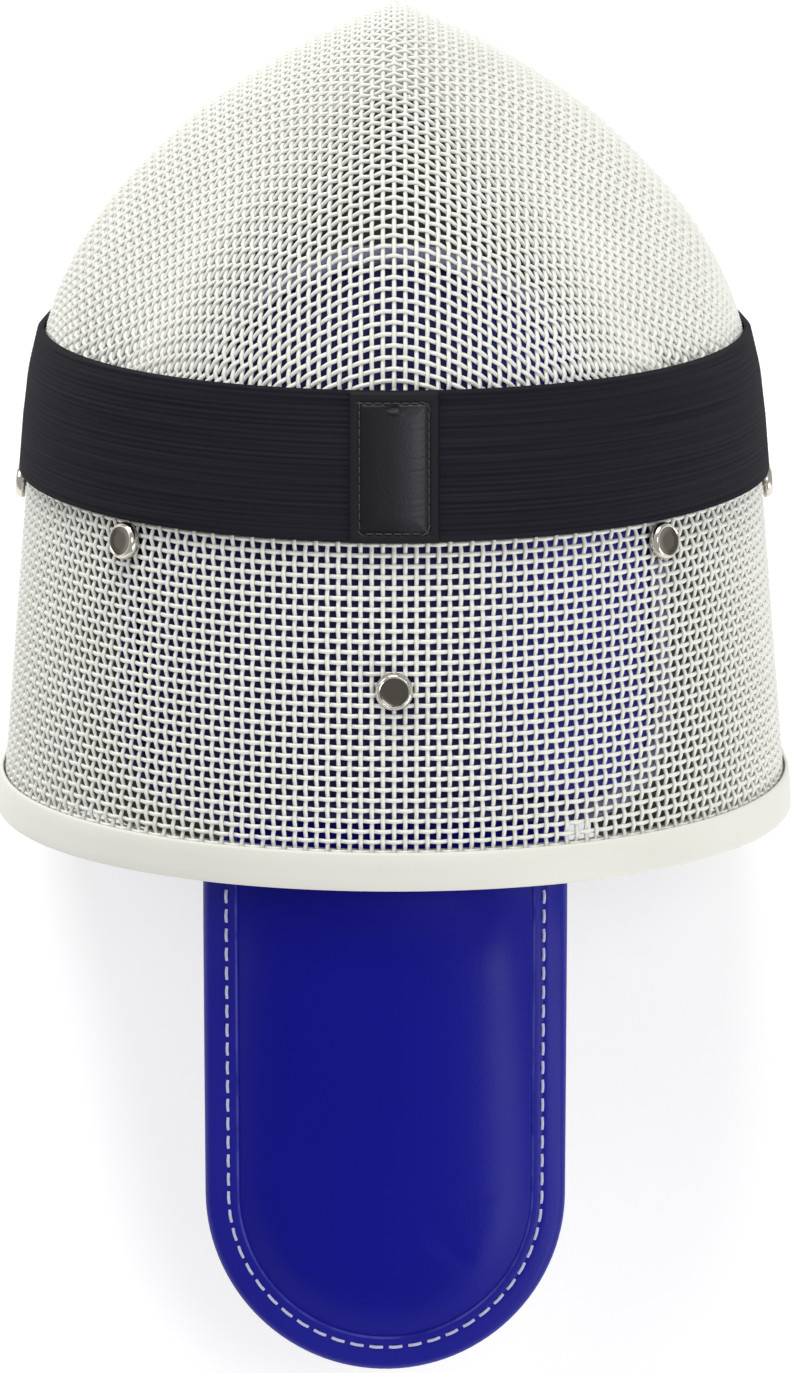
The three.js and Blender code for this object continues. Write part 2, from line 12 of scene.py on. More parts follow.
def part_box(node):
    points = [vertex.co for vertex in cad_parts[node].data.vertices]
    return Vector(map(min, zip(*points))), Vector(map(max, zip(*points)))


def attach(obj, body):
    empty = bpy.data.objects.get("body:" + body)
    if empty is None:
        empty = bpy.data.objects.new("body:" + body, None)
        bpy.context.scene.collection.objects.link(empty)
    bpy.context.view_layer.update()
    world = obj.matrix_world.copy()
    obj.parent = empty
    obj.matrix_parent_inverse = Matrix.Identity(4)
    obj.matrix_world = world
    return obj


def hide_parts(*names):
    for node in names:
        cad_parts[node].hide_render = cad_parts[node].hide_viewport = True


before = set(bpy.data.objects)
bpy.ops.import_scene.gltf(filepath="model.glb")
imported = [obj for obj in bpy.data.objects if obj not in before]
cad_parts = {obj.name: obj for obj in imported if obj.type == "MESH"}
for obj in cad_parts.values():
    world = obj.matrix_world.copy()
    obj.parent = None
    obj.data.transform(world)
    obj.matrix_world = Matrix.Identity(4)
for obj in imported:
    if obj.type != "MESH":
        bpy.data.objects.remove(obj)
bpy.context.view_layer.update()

MM = 0.001

# The hood's driving sizes in its own frame, in millimetres: crown's top at the origin, +Y to the keel
CROWN_HALF = 99.3
CROWN_RISE = 112.0
KEEL_REACH = 113.0
KEEL_SHARPNESS = 0.45
FACE_DROP = 150.0
CHIN_BACK = 41.0
REAR_REACH = 127.0
REAR_FLARE = 9.5
REAR_SAG = 14.7
RIM_LEAN = math.radians(13)
JAW_DEPTH = 215.0
JAW_ROUND = 26.0
MESH_WALL = 2.6
FIT = 0.3
TRIM_WALL = 1.0
TRIM_WEB = 1.5
TRIM_BAND = 10.2
STRAP_WIDTH = 38.6
STRAP_THICK = 1.8
STRAP_BACK = 19.3
STRAP_END_DEPTH = 150.0
PATCH_WIDTH = 22.2
PATCH_THICK = 1.2
PAD_THICK = 8.0
PAD_REAR = 104.0
PAD_CORNER = 20.0
BINDING_WIDTH = 5.5
TONGUE_HALF = 47.5
TONGUE_THICK = 10.0
TONGUE_EDGE = 3.2
TONGUE_ROOT = 64.0
TONGUE_TIP = 256.0
TONGUE_FALL = math.radians(17)
TONGUE_CURL = 84.0
TONGUE_FLATTEN = 110.0
TONGUE_CLEAR = 1.5
TONGUE_ASIDE = 2.4
BOUND = 9.0
STITCH_INSET = 6.3
TONGUE_SWELL = 13.0
STUD_RADIUS = 4.9
STUD_RISE = 2.4
STUD_CENTRE_BACK = 76.0
STUD_SIDE_ANGLE = math.radians(42.5)
STUD_FROM_STRAP = 5.4
RIVET_ABOVE_END = 9.0

# The weave
WIRE = 1.16

LEAN = math.tan(RIM_LEAN)

# Plan of the hood ahead of the crown, and the face below the side level: columns as named
OUTLINE_FORWARD = [0.0, 0.14, 0.32, 0.517, 0.711, 0.809, 0.906, 1.0]
OUTLINE_HALF = [1.0, 0.978, 0.918, 0.786, 0.575, 0.425, 0.239, 0.0]
FACE_DOWN = [0.0, 0.25, 0.45, 0.65, 0.85, 1.0, 1.3]
FACE_HALF = [1.0, 0.995, 0.975, 0.94, 0.895, 0.86, 0.79]
FACE_BACK = [0.0, 0.0, 0.07, 0.28, 0.63, 1.0, 1.85]


def between(stops, values, at):
    """Values on a smooth curve through the stops, for a number or an array."""
    stops = np.asarray(stops)
    values = np.asarray(values)
    slopes = np.empty_like(values)
    slopes[1:-1] = (values[2:] - values[:-2]) / (stops[2:] - stops[:-2])
    slopes[0] = (values[1] - values[0]) / (stops[1] - stops[0])
    slopes[-1] = (values[-1] - values[-2]) / (stops[-1] - stops[-2])
    at = np.asarray(at, float)
    i = np.clip(np.searchsorted(stops, at, side="left") - 1, 0, len(stops) - 2)
    step = stops[i + 1] - stops[i]
    t = np.clip((at - stops[i]) / step, 0, 1)
    keep = 2 * t**3 - 3 * t**2 + 1
    leave = t**3 - 2 * t**2 + t
    reach = 3 * t**2 - 2 * t**3
    arrive = t**3 - t**2
    return keep * values[i] + leave * step * slopes[i] + reach * values[i + 1] + arrive * step * slopes[i + 1]


def smooth(value, low, high):
    t = np.clip((np.asarray(value, float) - low) / (high - low), 0, 1)
    return t * t * (3 - 2 * t)


def unit(vectors):
    vectors = np.asarray(vectors, float)
    return vectors / np.linalg.norm(vectors, axis=-1, keepdims=True)


def mirrored(points):
    return points * [-1, 1, 1]


def lengths_along(points):
    steps = np.linalg.norm(np.diff(points, axis=0), axis=1)
    return np.concatenate([[0], np.cumsum(steps)])


def read_off(line, known, at):
    """Points of a line at the places asked for, where known gives the place of each of its points."""
    return np.stack([np.interp(at, known, column) for column in line.T], 1)


class Hood:
    """The hood's surface moved out by grow."""

    def __init__(self, grow=0.0):
        self.grow = grow
        self.reach = KEEL_REACH + grow

    def half(self, y):
        y = np.asarray(y, float)
        full = CROWN_HALF + self.grow
        front = full * between(OUTLINE_FORWARD, OUTLINE_HALF, np.clip(y / self.reach, 0, 1))
        rear = full - REAR_FLARE * y / REAR_REACH
        return np.where(y >= 0, front, rear)

    def rise(self, y):
        y = np.asarray(y, float)
        front = (CROWN_RISE + self.grow) * np.sqrt(np.clip(1 - (y / self.reach) ** 2, 0, 1))
        rear = CROWN_RISE + self.grow - REAR_SAG * (y / REAR_REACH) ** 2
        return np.where(y >= 0, front, rear)

    def arch(self, y, cosine):
        """Half width of the arched section where its height is cosine times the rise."""
        sine = np.sqrt(np.clip(1 - np.asarray(cosine) ** 2, 0, 1))
        sharp = KEEL_SHARPNESS * smooth(np.asarray(y) / self.reach, 0, 0.6)
        return self.half(y) * sine * (1 - sharp * np.asarray(cosine) ** 2)

    def wall(self, y, z):
        """Half width below the side level."""
        y, z = np.broadcast_arrays(np.asarray(y, float), np.asarray(z, float))
        down = (-CROWN_RISE - z) / FACE_DROP
        reach = self.reach - CHIN_BACK * between(FACE_DOWN, FACE_BACK, down)
        full = np.where(y >= 0, self.half(self.reach * np.clip(y / reach, 0, 1)), self.half(y))
        return full * between(FACE_DOWN, FACE_HALF, down)

    def keel(self, z):
        """How far forward the keel lies at a height."""
        z = np.asarray(z, float)
        down = (-CROWN_RISE - z) / FACE_DROP
        below = self.reach - CHIN_BACK * between(FACE_DOWN, FACE_BACK, np.clip(down, 0, 1.3))
        share = np.clip((z + CROWN_RISE) / (CROWN_RISE + self.grow), 0, 1)
        above = self.reach * np.sqrt(np.clip(1 - share**2, 0, 1))
        return np.where(z < -CROWN_RISE, below, above)

    def breadth(self, y, z):
        """Half width at a place in side view, zero outside the hood."""
        y, z = np.broadcast_arrays(np.asarray(y, float), np.asarray(z, float))
        rise = self.rise(np.minimum(y, self.reach))
        share = np.clip((z + CROWN_RISE) / np.maximum(rise, 1e-6), 0, 1)
        above = self.arch(y, share)
        return np.where(z >= -CROWN_RISE, above, self.wall(y, z))


def surface_points(grow, rows, columns, rear_steps, walls=1.3):
    """A fine grid of the hood's right half: rows down from the ridge, columns from the rear to the keel."""
    hood = Hood(grow)
    dome = np.cos(np.linspace(0, 1, rows) * math.pi / 2)
    down = np.linspace(0, walls, rows)[1:]
    rear = np.linspace(-1.25 * REAR_REACH, 0, rear_steps, endpoint=False)
    turn = np.sin(np.linspace(0, 1, columns) * math.pi / 2)
    grid = []
    for cosine in dome:
        height = hood.rise(0.0) * cosine
        y = np.concatenate([rear, hood.reach * math.sqrt(1 - cosine**2) * turn])
        rise = hood.rise(y)
        share = np.where(y < 0, cosine, np.minimum(height / np.maximum(rise, 1e-9), 1))
        z = np.where(y < 0, rise * cosine, height) - CROWN_RISE
        x = hood.arch(y, share)
        x[-1] = 0
        grid.append(np.stack([x, y, z], 1))
    for share in down:
        z = -CROWN_RISE - share * FACE_DROP
        reach = float(hood.keel(z))
        y = np.concatenate([rear, reach * turn])
        x = hood.wall(y, z)
        x[-1] = 0
        grid.append(np.stack([x, y, np.full(len(y), z)], 1))
    return np.array(grid)


def grid_faces(rows, columns, wrap_rows=False, wrap_columns=False):
    """Faces over a grid of points, closed on itself where it is wrapped."""
    faces = []
    for i in range(rows if wrap_rows else rows - 1):
        here = i * columns
        below = (i + 1) % rows * columns
        for j in range(columns if wrap_columns else columns - 1):
            beside = (j + 1) % columns
            faces.append((here + j, below + j, below + beside, here + beside))
    return faces


# The hood's frame is tipped back so that the lower rim lies flat
jaw = np.array([-REAR_REACH + LEAN * (JAW_DEPTH - REAR_SAG), -JAW_DEPTH])
chin = np.array([KEEL_REACH - CHIN_BACK, -CROWN_RISE - FACE_DROP])
floor_angle = math.atan2(chin[1] - jaw[1], chin[0] - jaw[0])
TIP_COS, TIP_SIN = math.cos(-floor_angle), math.sin(-floor_angle)
rear_up = np.array([-math.sin(RIM_LEAN), math.cos(RIM_LEAN)])
rear_inward = np.array([rear_up[1], -rear_up[0]])
floor_ahead = np.array([math.cos(floor_angle), math.sin(floor_angle)])
floor_inward = np.array([-floor_ahead[1], floor_ahead[0]])
jaw_opening = math.acos(float(rear_up @ floor_ahead))
corner_top = jaw + rear_up * JAW_ROUND / math.tan(jaw_opening / 2)
corner_middle = corner_top + JAW_ROUND * rear_inward


def tipped(points):
    """Hood frame to the part's frame, before the shift onto the floor."""
    p = np.asarray(points, float)
    y = p[..., 1] * TIP_COS - p[..., 2] * TIP_SIN
    z = p[..., 1] * TIP_SIN + p[..., 2] * TIP_COS
    return np.stack([p[..., 0], y, z], -1)


keel_z = np.linspace(-240, -60, 400)
keel_line = np.stack([np.zeros(400), Hood().keel(keel_z), keel_z], 1)
SHIFT_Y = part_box("front_mesh")[1].y / MM - tipped(keel_line)[:, 1].max()
SHIFT_Z = -tipped(np.array([0, jaw[0], jaw[1]]))[2]


def placed(points):
    """Hood millimetres to metres in the part's frame."""
    p = tipped(points)
    p[..., 1] += SHIFT_Y
    p[..., 2] += SHIFT_Z
    return p * MM


def hood_place(points):
    """Metres in the part's frame to hood millimetres."""
    p = np.asarray(points, float) / MM
    y = p[..., 1] - SHIFT_Y
    z = p[..., 2] - SHIFT_Z
    return np.stack([p[..., 0], y * TIP_COS + z * TIP_SIN, z * TIP_COS - y * TIP_SIN], -1)


def inside_rim(y, z):
    """Distance inside the rim in side view, with the jaw corner rounded."""
    point = np.stack(np.broadcast_arrays(np.asarray(y, float), np.asarray(z, float)), -1)
    from_jaw, from_middle = point - jaw, point - corner_middle
    straight = np.minimum(from_jaw @ rear_inward, from_jaw @ floor_inward)
    in_corner = (from_middle @ floor_ahead < 0) & (from_middle @ rear_up < 0)
    return np.where(in_corner, JAW_ROUND - np.linalg.norm(from_middle, axis=-1), straight)


def ahead_of_seam(y, z):
    """Distance ahead of the leaning seam, measured along the hood."""
    return np.asarray(y) + STRAP_BACK + LEAN * np.asarray(z)


# Mesh making
def added(name, data):
    """A new object in the scene."""
    obj = bpy.data.objects.new(name, data)
    bpy.context.scene.collection.objects.link(obj)
    return obj


def new_object(name, points, faces, material, smooth_faces=True):
    mesh = bpy.data.meshes.new(name)
    mesh.from_pydata([tuple(p) for p in np.asarray(points, float)], [], faces)
    mesh.validate()
    mesh.update()
    mesh.polygons.foreach_set("use_smooth", [smooth_faces] * len(mesh.polygons))
    mesh.materials.append(material)
    return added(name, mesh)


def mark(obj, name, values):
    """A number for each point, for a material to read."""
    layer = obj.data.attributes.new(name, "FLOAT", "POINT")
    layer.data.foreach_set("value", np.asarray(values, np.float32))


def vertex_array(obj, name="co"):
    values = np.empty(len(obj.data.vertices) * 3, np.float32)
    obj.data.vertices.foreach_get(name, values)
    return values.reshape(-1, 3).astype(float)


def moved_to(obj, points):
    obj.data.vertices.foreach_set("co", np.asarray(points, np.float32).reshape(-1))
    obj.data.update()
    return obj


def face_out(obj):
    work = bmesh.new()
    work.from_mesh(obj.data)
    bmesh.ops.remove_doubles(work, verts=work.verts, dist=1e-6)
    bmesh.ops.recalc_face_normals(work, faces=work.faces)
    work.to_mesh(obj.data)
    work.free()
    return obj


def settle(obj, slot, *nodes, fill=None):
    """Every piece rides on the one body and stands for its nodes, which are hidden; the slot is not used."""
    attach(obj, "root")
    if nodes:
        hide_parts(*nodes)


def evaluated(obj):
    """The object with its modifiers applied, as a plain mesh."""
    graph = bpy.context.evaluated_depsgraph_get()
    mesh = bpy.data.meshes.new_from_object(obj.evaluated_get(graph), depsgraph=graph)
    obj.modifiers.clear()
    obj.data = mesh
    return obj


# Shader expressions
class Sock:
    """A shader socket that adds maths nodes when it is used in an expression."""

    tree = None

    def __init__(self, socket):
        self.socket = socket

    @staticmethod
    def node(kind, settings=None, **inputs):
        """Any node: its type, its settings, then its sockets by name, or by number as i0."""
        made = Sock.tree.nodes.new(kind)
        for key, value in (settings or {}).items():
            setattr(made, key, value)
        for key, value in inputs.items():
            index = int(key[1:]) if key[0] == "i" and key[1:].isdigit() else key.replace("_", " ")
            Sock.join(made.inputs[index], value)
        return made

    @staticmethod
    def out(kind, settings=None, output=0, **inputs):
        """One output of a new node."""
        return Sock(Sock.node(kind, settings, **inputs).outputs[output])

    @staticmethod
    def join(socket, value):
        if isinstance(value, Sock):
            Sock.tree.links.new(value.socket, socket)
        else:
            socket.default_value = value

    @staticmethod
    def math(operation, a, b=0.0, c=0.0):
        return Sock.out("ShaderNodeMath", {"operation": operation}, i0=a, i1=b, i2=c)

    def __add__(self, other):
        return Sock.math("ADD", self, other)

    __radd__ = __add__

    def __sub__(self, other):
        return Sock.math("SUBTRACT", self, other)

    def __rsub__(self, other):
        return Sock.math("SUBTRACT", other, self)

    def __mul__(self, other):
        return Sock.math("MULTIPLY", self, other)

    __rmul__ = __mul__

    def sin(self):
        return Sock.math("SINE", self)

    def abs(self):
        return Sock.math("ABSOLUTE", self)

    def clamp(self):
        return Sock.math("MINIMUM", Sock.math("MAXIMUM", self, 0.0), 1.0)

    def step(self, low, high):
        """0 below low, 1 above high, smooth between."""
        made = Sock.node("ShaderNodeMapRange", {"interpolation_type": "SMOOTHSTEP"}, Value=self)
        made.inputs["From Min"].default_value = low
        made.inputs["From Max"].default_value = high
        return Sock(made.outputs[0])


def object_place():
    return Sock.out("ShaderNodeTexCoord", output="Object")


def uv_place():
    return Sock.out("ShaderNodeTexCoord", output="UV")


def attribute(name):
    return Sock.out("ShaderNodeAttribute", {"attribute_name": name}, "Fac")


def joined(x=0.0, y=0.0, z=0.0):
    """A vector from three numbers."""
    return Sock.out("ShaderNodeCombineXYZ", X=x, Y=y, Z=z)


def parts_of(vector):
    made = Sock.node("ShaderNodeSeparateXYZ", i0=vector)
    return [Sock(made.outputs[i]) for i in range(3)]


def noise(place, scale, detail=3.0, roughness=0.55):
    sizes = {"Scale": scale, "Detail": detail, "Roughness": roughness}
    return Sock.out("ShaderNodeTexNoise", None, "Fac", i0=place, **sizes)


def cells(place, scale):
    return Sock.out("ShaderNodeTexVoronoi", {"feature": "F1"}, "Distance", i0=place, Scale=scale)


def mixed(fac, a, b):
    """A colour between two colours."""
    a, b = (side if isinstance(side, Sock) else (*side, 1) for side in (a, b))
    return Sock.out("ShaderNodeMix", {"data_type": "RGBA"}, 2, i0=fac, i6=a, i7=b)


def bumped(height, strength, distance):
    return Sock.out("ShaderNodeBump", Strength=strength, Distance=distance, Height=height)


def finish_of(name, paint):
    """A material whose paint function takes the place and returns the shader's sockets."""
    material = bpy.data.materials.new(name)
    material.use_nodes = True
    Sock.tree = material.node_tree
    shader = material.node_tree.nodes["Principled BSDF"]
    for key, value in paint(object_place()).items():
        if isinstance(value, tuple) and len(value) == 3:
            value = (*value, 1)
        Sock.join(shader.inputs[key], value)
    return material


def wire_coating(place):
    cloud = noise(place, 55.0)
    fine = noise(place, 900.0, 2.0)
    grime = noise(place, 210.0, 4.0).step(0.58, 0.82)
    colour = mixed(cloud, (0.86, 0.86, 0.81), (0.77, 0.77, 0.715))
    colour = mixed(grime * 0.35, colour, (0.50, 0.485, 0.44))
    return {
        "Base Color": colour,
        "Roughness": 0.28 + fine * 0.16,
        "Normal": bumped(fine, 0.25, 0.0002),
        "Coat Weight": 0.15,
    }


def trim_plastic(place):
    cloud = noise(place, 30.0)
    fine = noise(place, 420.0, 3.0)
    scuff = noise(place, 120.0, 5.0).step(0.62, 0.78)
    colour = mixed(cloud, (0.76, 0.75, 0.69), (0.70, 0.69, 0.63))
    colour = mixed(scuff * 0.2, colour, (0.56, 0.54, 0.49))
    return {
        "Base Color": colour,
        "Roughness": 0.42 + scuff * 0.2,
        "Normal": bumped(fine, 0.12, 0.0002),
        "Specular IOR Level": 0.3,
    }


def ribbed_elastic(place):
    u, v, _ = parts_of(uv_place())
    ribs = (v * (2 * math.pi * 28)).sin()
    knit = (u * (2 * math.pi * 620)).sin()
    fuzz = noise(place, 1500.0, 2.0)
    stretch = noise(joined(u * 3.0, v * 28.0), 1.6, 3.0)
    colour = mixed(stretch.step(0.3, 0.75), (0.0065, 0.0065, 0.010), (0.016, 0.016, 0.022))
    colour = mixed((ribs * 0.12 + fuzz * 0.25).clamp(), colour, (0.024, 0.024, 0.032))
    return {
        "Base Color": colour,
        "Roughness": 0.85,
        "Normal": bumped(knit * 0.35 + fuzz * 0.8 + ribs * 0.3, 0.4, 0.0003),
        "Specular IOR Level": 0.08,
    }


def black_vinyl(place):
    u, v, _ = parts_of(uv_place())
    grain = cells(place, 1300.0)
    cloud = noise(place, 90.0)
    across = v.step(0.10, 0.13) * (1.0 - v.step(0.87, 0.90))
    along = u.step(0.06, 0.085) * (1.0 - u.step(0.92, 0.945))
    panel = across * along
    colour = mixed(cloud, (0.0055, 0.0055, 0.008), (0.0085, 0.0085, 0.012))
    # Painted sheen: the right half of the panel is painted lighter where light glances off it, and made a
    # little glossier.
    painted_sheen = panel * v.step(0.42, 0.80)
    colour = mixed(panel, colour, mixed(cloud, (0.005, 0.005, 0.007), (0.008, 0.0075, 0.011)))
    colour = mixed(painted_sheen, colour, mixed(cloud, (0.016, 0.015, 0.020), (0.022, 0.0205, 0.027)))
    return {
        "Base Color": colour,
        "Roughness": 0.6 - panel * 0.22 - painted_sheen * 0.08 + cloud * 0.08,
        "Normal": bumped(grain, 0.12, 0.0002),
        "Specular IOR Level": 0.2,
    }


def blue_vinyl(place):
    inset = attribute("from_edge")
    grain = cells(place, 950.0)
    cloud = noise(place, 22.0, 4.0)
    patchy = noise(place, 75.0, 5.0, 0.65)
    border = 1.0 - inset.step(BOUND - 0.2, BOUND + 0.1)
    welt = inset.step(BOUND - 0.75, BOUND - 0.3) * (1.0 - inset.step(BOUND - 0.1, BOUND + 0.15))
    # The raised welt is painted paler in patches: partly rubbed wear, partly a painted highlight along the
    # raised edge.
    worn_and_highlit = welt * patchy.step(0.3, 0.62)
    scuffs = noise(place, 140.0, 6.0, 0.75).step(0.66, 0.8)
    colour = mixed(cloud, (0.002, 0.0027, 0.200), (0.0035, 0.004, 0.250))
    edge = mixed(cloud, (0.007, 0.008, 0.215), (0.014, 0.015, 0.27))
    colour = mixed(border, colour, edge)
    colour = mixed((worn_and_highlit * 0.45 + scuffs * 0.10).clamp(), colour, (0.13, 0.13, 0.48))
    return {
        "Base Color": colour,
        "Roughness": 0.34 + worn_and_highlit * 0.15 + cloud * 0.1 + scuffs * 0.1,
        "Normal": bumped(grain * 0.6 + patchy * 1.5, 0.12, 0.0003),
        "Specular IOR Level": 0.12,
    }


def blue_lining(place):
    x, y, _ = parts_of(place)
    weave = ((x * 5200.0).sin() + (y * 5200.0).sin()) * 0.5
    cloud = noise(place, 40.0)
    # Painted light and shade: the lining is navy in painted shade on the left and brighter blue on the right,
    # where light falls through the mesh.
    shaded_navy = mixed(cloud, (0.006, 0.008, 0.085), (0.011, 0.013, 0.13))
    bright = mixed(cloud, (0.022, 0.026, 0.30), (0.045, 0.05, 0.44))
    return {
        "Base Color": mixed(x.step(0.012, 0.05), shaded_navy, bright),
        "Roughness": 0.8,
        "Normal": bumped(weave + cloud, 0.4, 0.0003),
    }


def pale_tape(place):
    x, y, _ = parts_of(place)
    cloud = noise(place, 300.0)
    pale = mixed(cloud, (0.17, 0.19, 0.31), (0.25, 0.27, 0.40))
    shaded_navy = mixed(cloud, (0.012, 0.014, 0.11), (0.022, 0.025, 0.16))
    # Painted shade: the pale tape is painted navy along its rear stretch and on its left side, where shade
    # falls.
    behind = (1.0 - y.step(-0.058, -0.050)) * (1.0 - x.step(0.047, 0.053))
    left = (1.0 - x.step(-0.06, -0.04)) * (1.0 - y.step(0.01, 0.04))
    return {
        "Base Color": mixed((behind + left).clamp(), pale, shaded_navy),
        "Roughness": 0.8,
        "Normal": bumped(cloud, 0.4, 0.0003),
    }


def dark_lining(place):
    x = parts_of(place)[0]
    cloud = noise(place, 60.0)
    fuzz = noise(place, 1400.0, 2.0)
    # Darker in the middle and lighter grey towards the outer sides.
    dark = mixed(cloud, (0.050, 0.050, 0.044), (0.095, 0.092, 0.076))
    lighter_sides = mixed(cloud, (0.26, 0.26, 0.245), (0.38, 0.375, 0.35))
    return {
        "Base Color": mixed(x.abs().step(0.072, 0.100), dark, lighter_sides),
        "Roughness": 0.9,
        "Normal": bumped(fuzz, 0.4, 0.0003),
    }


def nickel_plate(place):
    fine = noise(place, 700.0, 3.0)
    # Painted reflection: the flat top of each cap is painted dark, standing in for the dark surroundings it
    # mirrors.
    flat = attribute("cap_flat").step(0.35, 0.65)
    bright = mixed(fine, (0.62, 0.58, 0.51), (0.74, 0.71, 0.64))
    return {
        "Base Color": mixed(flat, bright, (0.15, 0.14, 0.12)),
        "Metallic": 1.0,
        "Roughness": 0.1 + fine * 0.1,
    }


def thread(scale, dark, light, roughness):
    return lambda place: {"Base Color": mixed(noise(place, scale), dark, light), "Roughness": roughness}


PAINTS = {
    "coated_wire": wire_coating, "trim_plastic": trim_plastic, "ribbed_elastic": ribbed_elastic,
    "black_vinyl": black_vinyl, "blue_vinyl": blue_vinyl, "blue_lining": blue_lining, "pale_tape": pale_tape,
    "dark_lining": dark_lining, "nickel_plate": nickel_plate,
    "white_thread": thread(700.0, (0.36, 0.37, 0.56), (0.58, 0.58, 0.74), 0.7),
    "black_thread": thread(900.0, (0.01, 0.01, 0.012), (0.03, 0.03, 0.034), 0.6),
}
FINISH = {name: finish_of(name, paint) for name, paint in PAINTS.items()}


MESH_MIDDLE = -MESH_WALL / 2
UNDER_TRIM = 2.2
SEAM_EDGE = 0.9


def skin_tree():
    """The hood at the middle of the weave as a fine mesh, for its outward directions."""
    right = surface_points(MESH_MIDDLE, rows=70, columns=90, rear_steps=50)
    whole = np.concatenate([right, mirrored(right[:, -2::-1])], axis=1)
    faces = grid_faces(*whole.shape[:2])
    return BVHTree.FromPolygons([tuple(p) for p in whole.reshape(-1, 3)], faces)


SKIN = skin_tree()
HEAD_FRONT = 40.0


def outward(points):
    """Outward unit directions at points of the weave."""
    out = np.empty_like(points)
    for i, p in enumerate(points):
        spot, away = (np.array(found) for found in SKIN.find_nearest(Vector(p))[:2])
        middle = np.array([0.0, min(max(spot[1], -REAR_REACH), HEAD_FRONT), -CROWN_RISE])
        out[i] = away if away @ (spot - middle) > 0 else -away
    return out


# Curves on the hood in planes that lean with the rim
def leaning_half(grow, back, low=-CROWN_RISE - 1.25 * FACE_DROP, dome_steps=120, wall_steps=160):
    """The right half of the hood's section in a leaning plane, from the ridge down."""
    hood = Hood(grow)
    top_y = -back
    for _ in range(6):
        top_y = -back - LEAN * (float(hood.rise(top_y)) - CROWN_RISE)
    top = float(hood.rise(top_y))
    dome = top * np.cos(np.linspace(0, math.pi / 2, dome_steps)) - CROWN_RISE
    wall = np.linspace(-CROWN_RISE, low, wall_steps)[1:]
    z = np.concatenate([dome, wall])
    y = -back - LEAN * z
    x = hood.breadth(y, z)
    x[0] = 0
    return np.stack([x, y, z], 1)


def band_points(grow, back, arcs):
    """Points at signed distances from the ridge, measured on the hood's outer face."""
    arcs = np.asarray(arcs, float)
    reached = lengths_along(leaning_half(0.0, back))
    index = np.interp(np.abs(arcs), reached, np.arange(len(reached)))
    line = leaning_half(grow, back)
    found = read_off(line, np.arange(len(line)), index)
    found[:, 0] *= np.sign(arcs)
    return found


def arc_at_depth(back, depth):
    line = leaning_half(0.0, back)
    return float(np.interp(depth, -line[:, 2], lengths_along(line)))


# Wires as thin tubes
RING = 5
SHORTEST_END = 0.4


def wire_mesh(name, paths, material):
    """Closed tubes along paths; each path is its points and the outward directions there."""
    k = np.arange(RING)
    turns = 2 * math.pi * k / RING
    rising, aside = (WIRE / 2 * part(turns)[None, :, None] for part in (np.cos, np.sin))
    all_points = []
    loops = []
    sizes = []
    start = 0
    for points, away in paths:
        n = len(points)
        along = unit(np.gradient(points, axis=0))
        side = unit(np.cross(along, away))
        up = np.cross(side, along)
        ring = points[:, None] + rising * up[:, None] + aside * side[:, None]
        all_points.append(ring.reshape(-1, 3))
        first = start + RING * np.arange(n - 1)[:, None]
        here = first + k
        beside = first + (k + 1) % RING
        quads = np.stack([here, beside, beside + RING, here + RING], -1)
        loops += [quads.reshape(-1), start + k[::-1], start + RING * (n - 1) + k]
        sizes += [np.full(RING * (n - 1), 4), np.array([RING, RING])]
        start += RING * n
    points, loops, sizes = (np.concatenate(rows) for rows in (all_points, loops, sizes))
    return loose_mesh(name, placed(points), loops, sizes, material)


def loose_mesh(name, points, loops, sizes, material):
    """A mesh from flat arrays of points, corners and face sizes."""
    mesh = bpy.data.meshes.new(name)
    mesh.vertices.add(len(points))
    mesh.vertices.foreach_set("co", points.reshape(-1))
    mesh.loops.add(len(loops))
    mesh.loops.foreach_set("vertex_index", loops.astype(np.int32))
    mesh.polygons.add(len(sizes))
    starts = np.concatenate([[0], np.cumsum(sizes)[:-1]])
    mesh.polygons.foreach_set("loop_start", starts.astype(np.int32))
    mesh.polygons.foreach_set("loop_total", sizes.astype(np.int32))
    mesh.polygons.foreach_set("use_smooth", np.ones(len(sizes), bool))
    mesh.update(calc_edges=True)
    mesh.materials.append(material)
    return added(name, mesh)


def runs_of(mask):
    """First and past-the-last places of each unbroken run in a row of truths."""
    marks = np.flatnonzero(np.diff(np.concatenate([[0], mask.astype(int), [0]])))
    return list(zip(marks[::2], marks[1::2]))


def cut_point(nodes, depth, inner, outer):
    """Where a wire crosses the border between a crossing inside and the next one outside."""
    share = depth[inner] / max(depth[inner] - depth[outer], 1e-6)
    return nodes[inner] + (nodes[outer] - nodes[inner]) * share


def woven(nodes, away, depth, first_over):
    """Paths of the wires along the first axis of a net, waving over and under those across it.

    depth is how far each crossing lies inside the panel's border, and wires end on the border.
    """
    paths = []
    swing = WIRE / 2
    last = nodes.shape[0] - 1
    for line in range(nodes.shape[1]):
        for start, end in runs_of(depth[:, line] > 0):
            if end - start < 2:
                continue
            points = nodes[start:end, line]
            out = away[start:end, line]
            over = (-1.0) ** (np.arange(start, end) + line + first_over)
            crossings = points + out * (over * swing)[:, None]
            halfway = (points[1:] + points[:-1]) / 2
            merged = np.empty((2 * len(points) - 1, 3))
            merged[::2] = crossings
            merged[1::2] = halfway
            facing = np.empty_like(merged)
            facing[::2] = out
            facing[1::2] = (out[1:] + out[:-1]) / 2
            for inner, outer in ((start, start - 1), (end - 1, end)):
                if not 0 <= outer <= last:
                    continue
                cut = cut_point(nodes[:, line], depth[:, line], inner, outer)
                if np.linalg.norm(cut - nodes[inner, line]) <= SHORTEST_END:
                    continue
                at = 0 if outer < inner else len(merged)
                merged = np.insert(merged, at, cut, axis=0)
                facing = np.insert(facing, at, away[inner, line], axis=0)
            paths.append((merged, facing))
    return paths


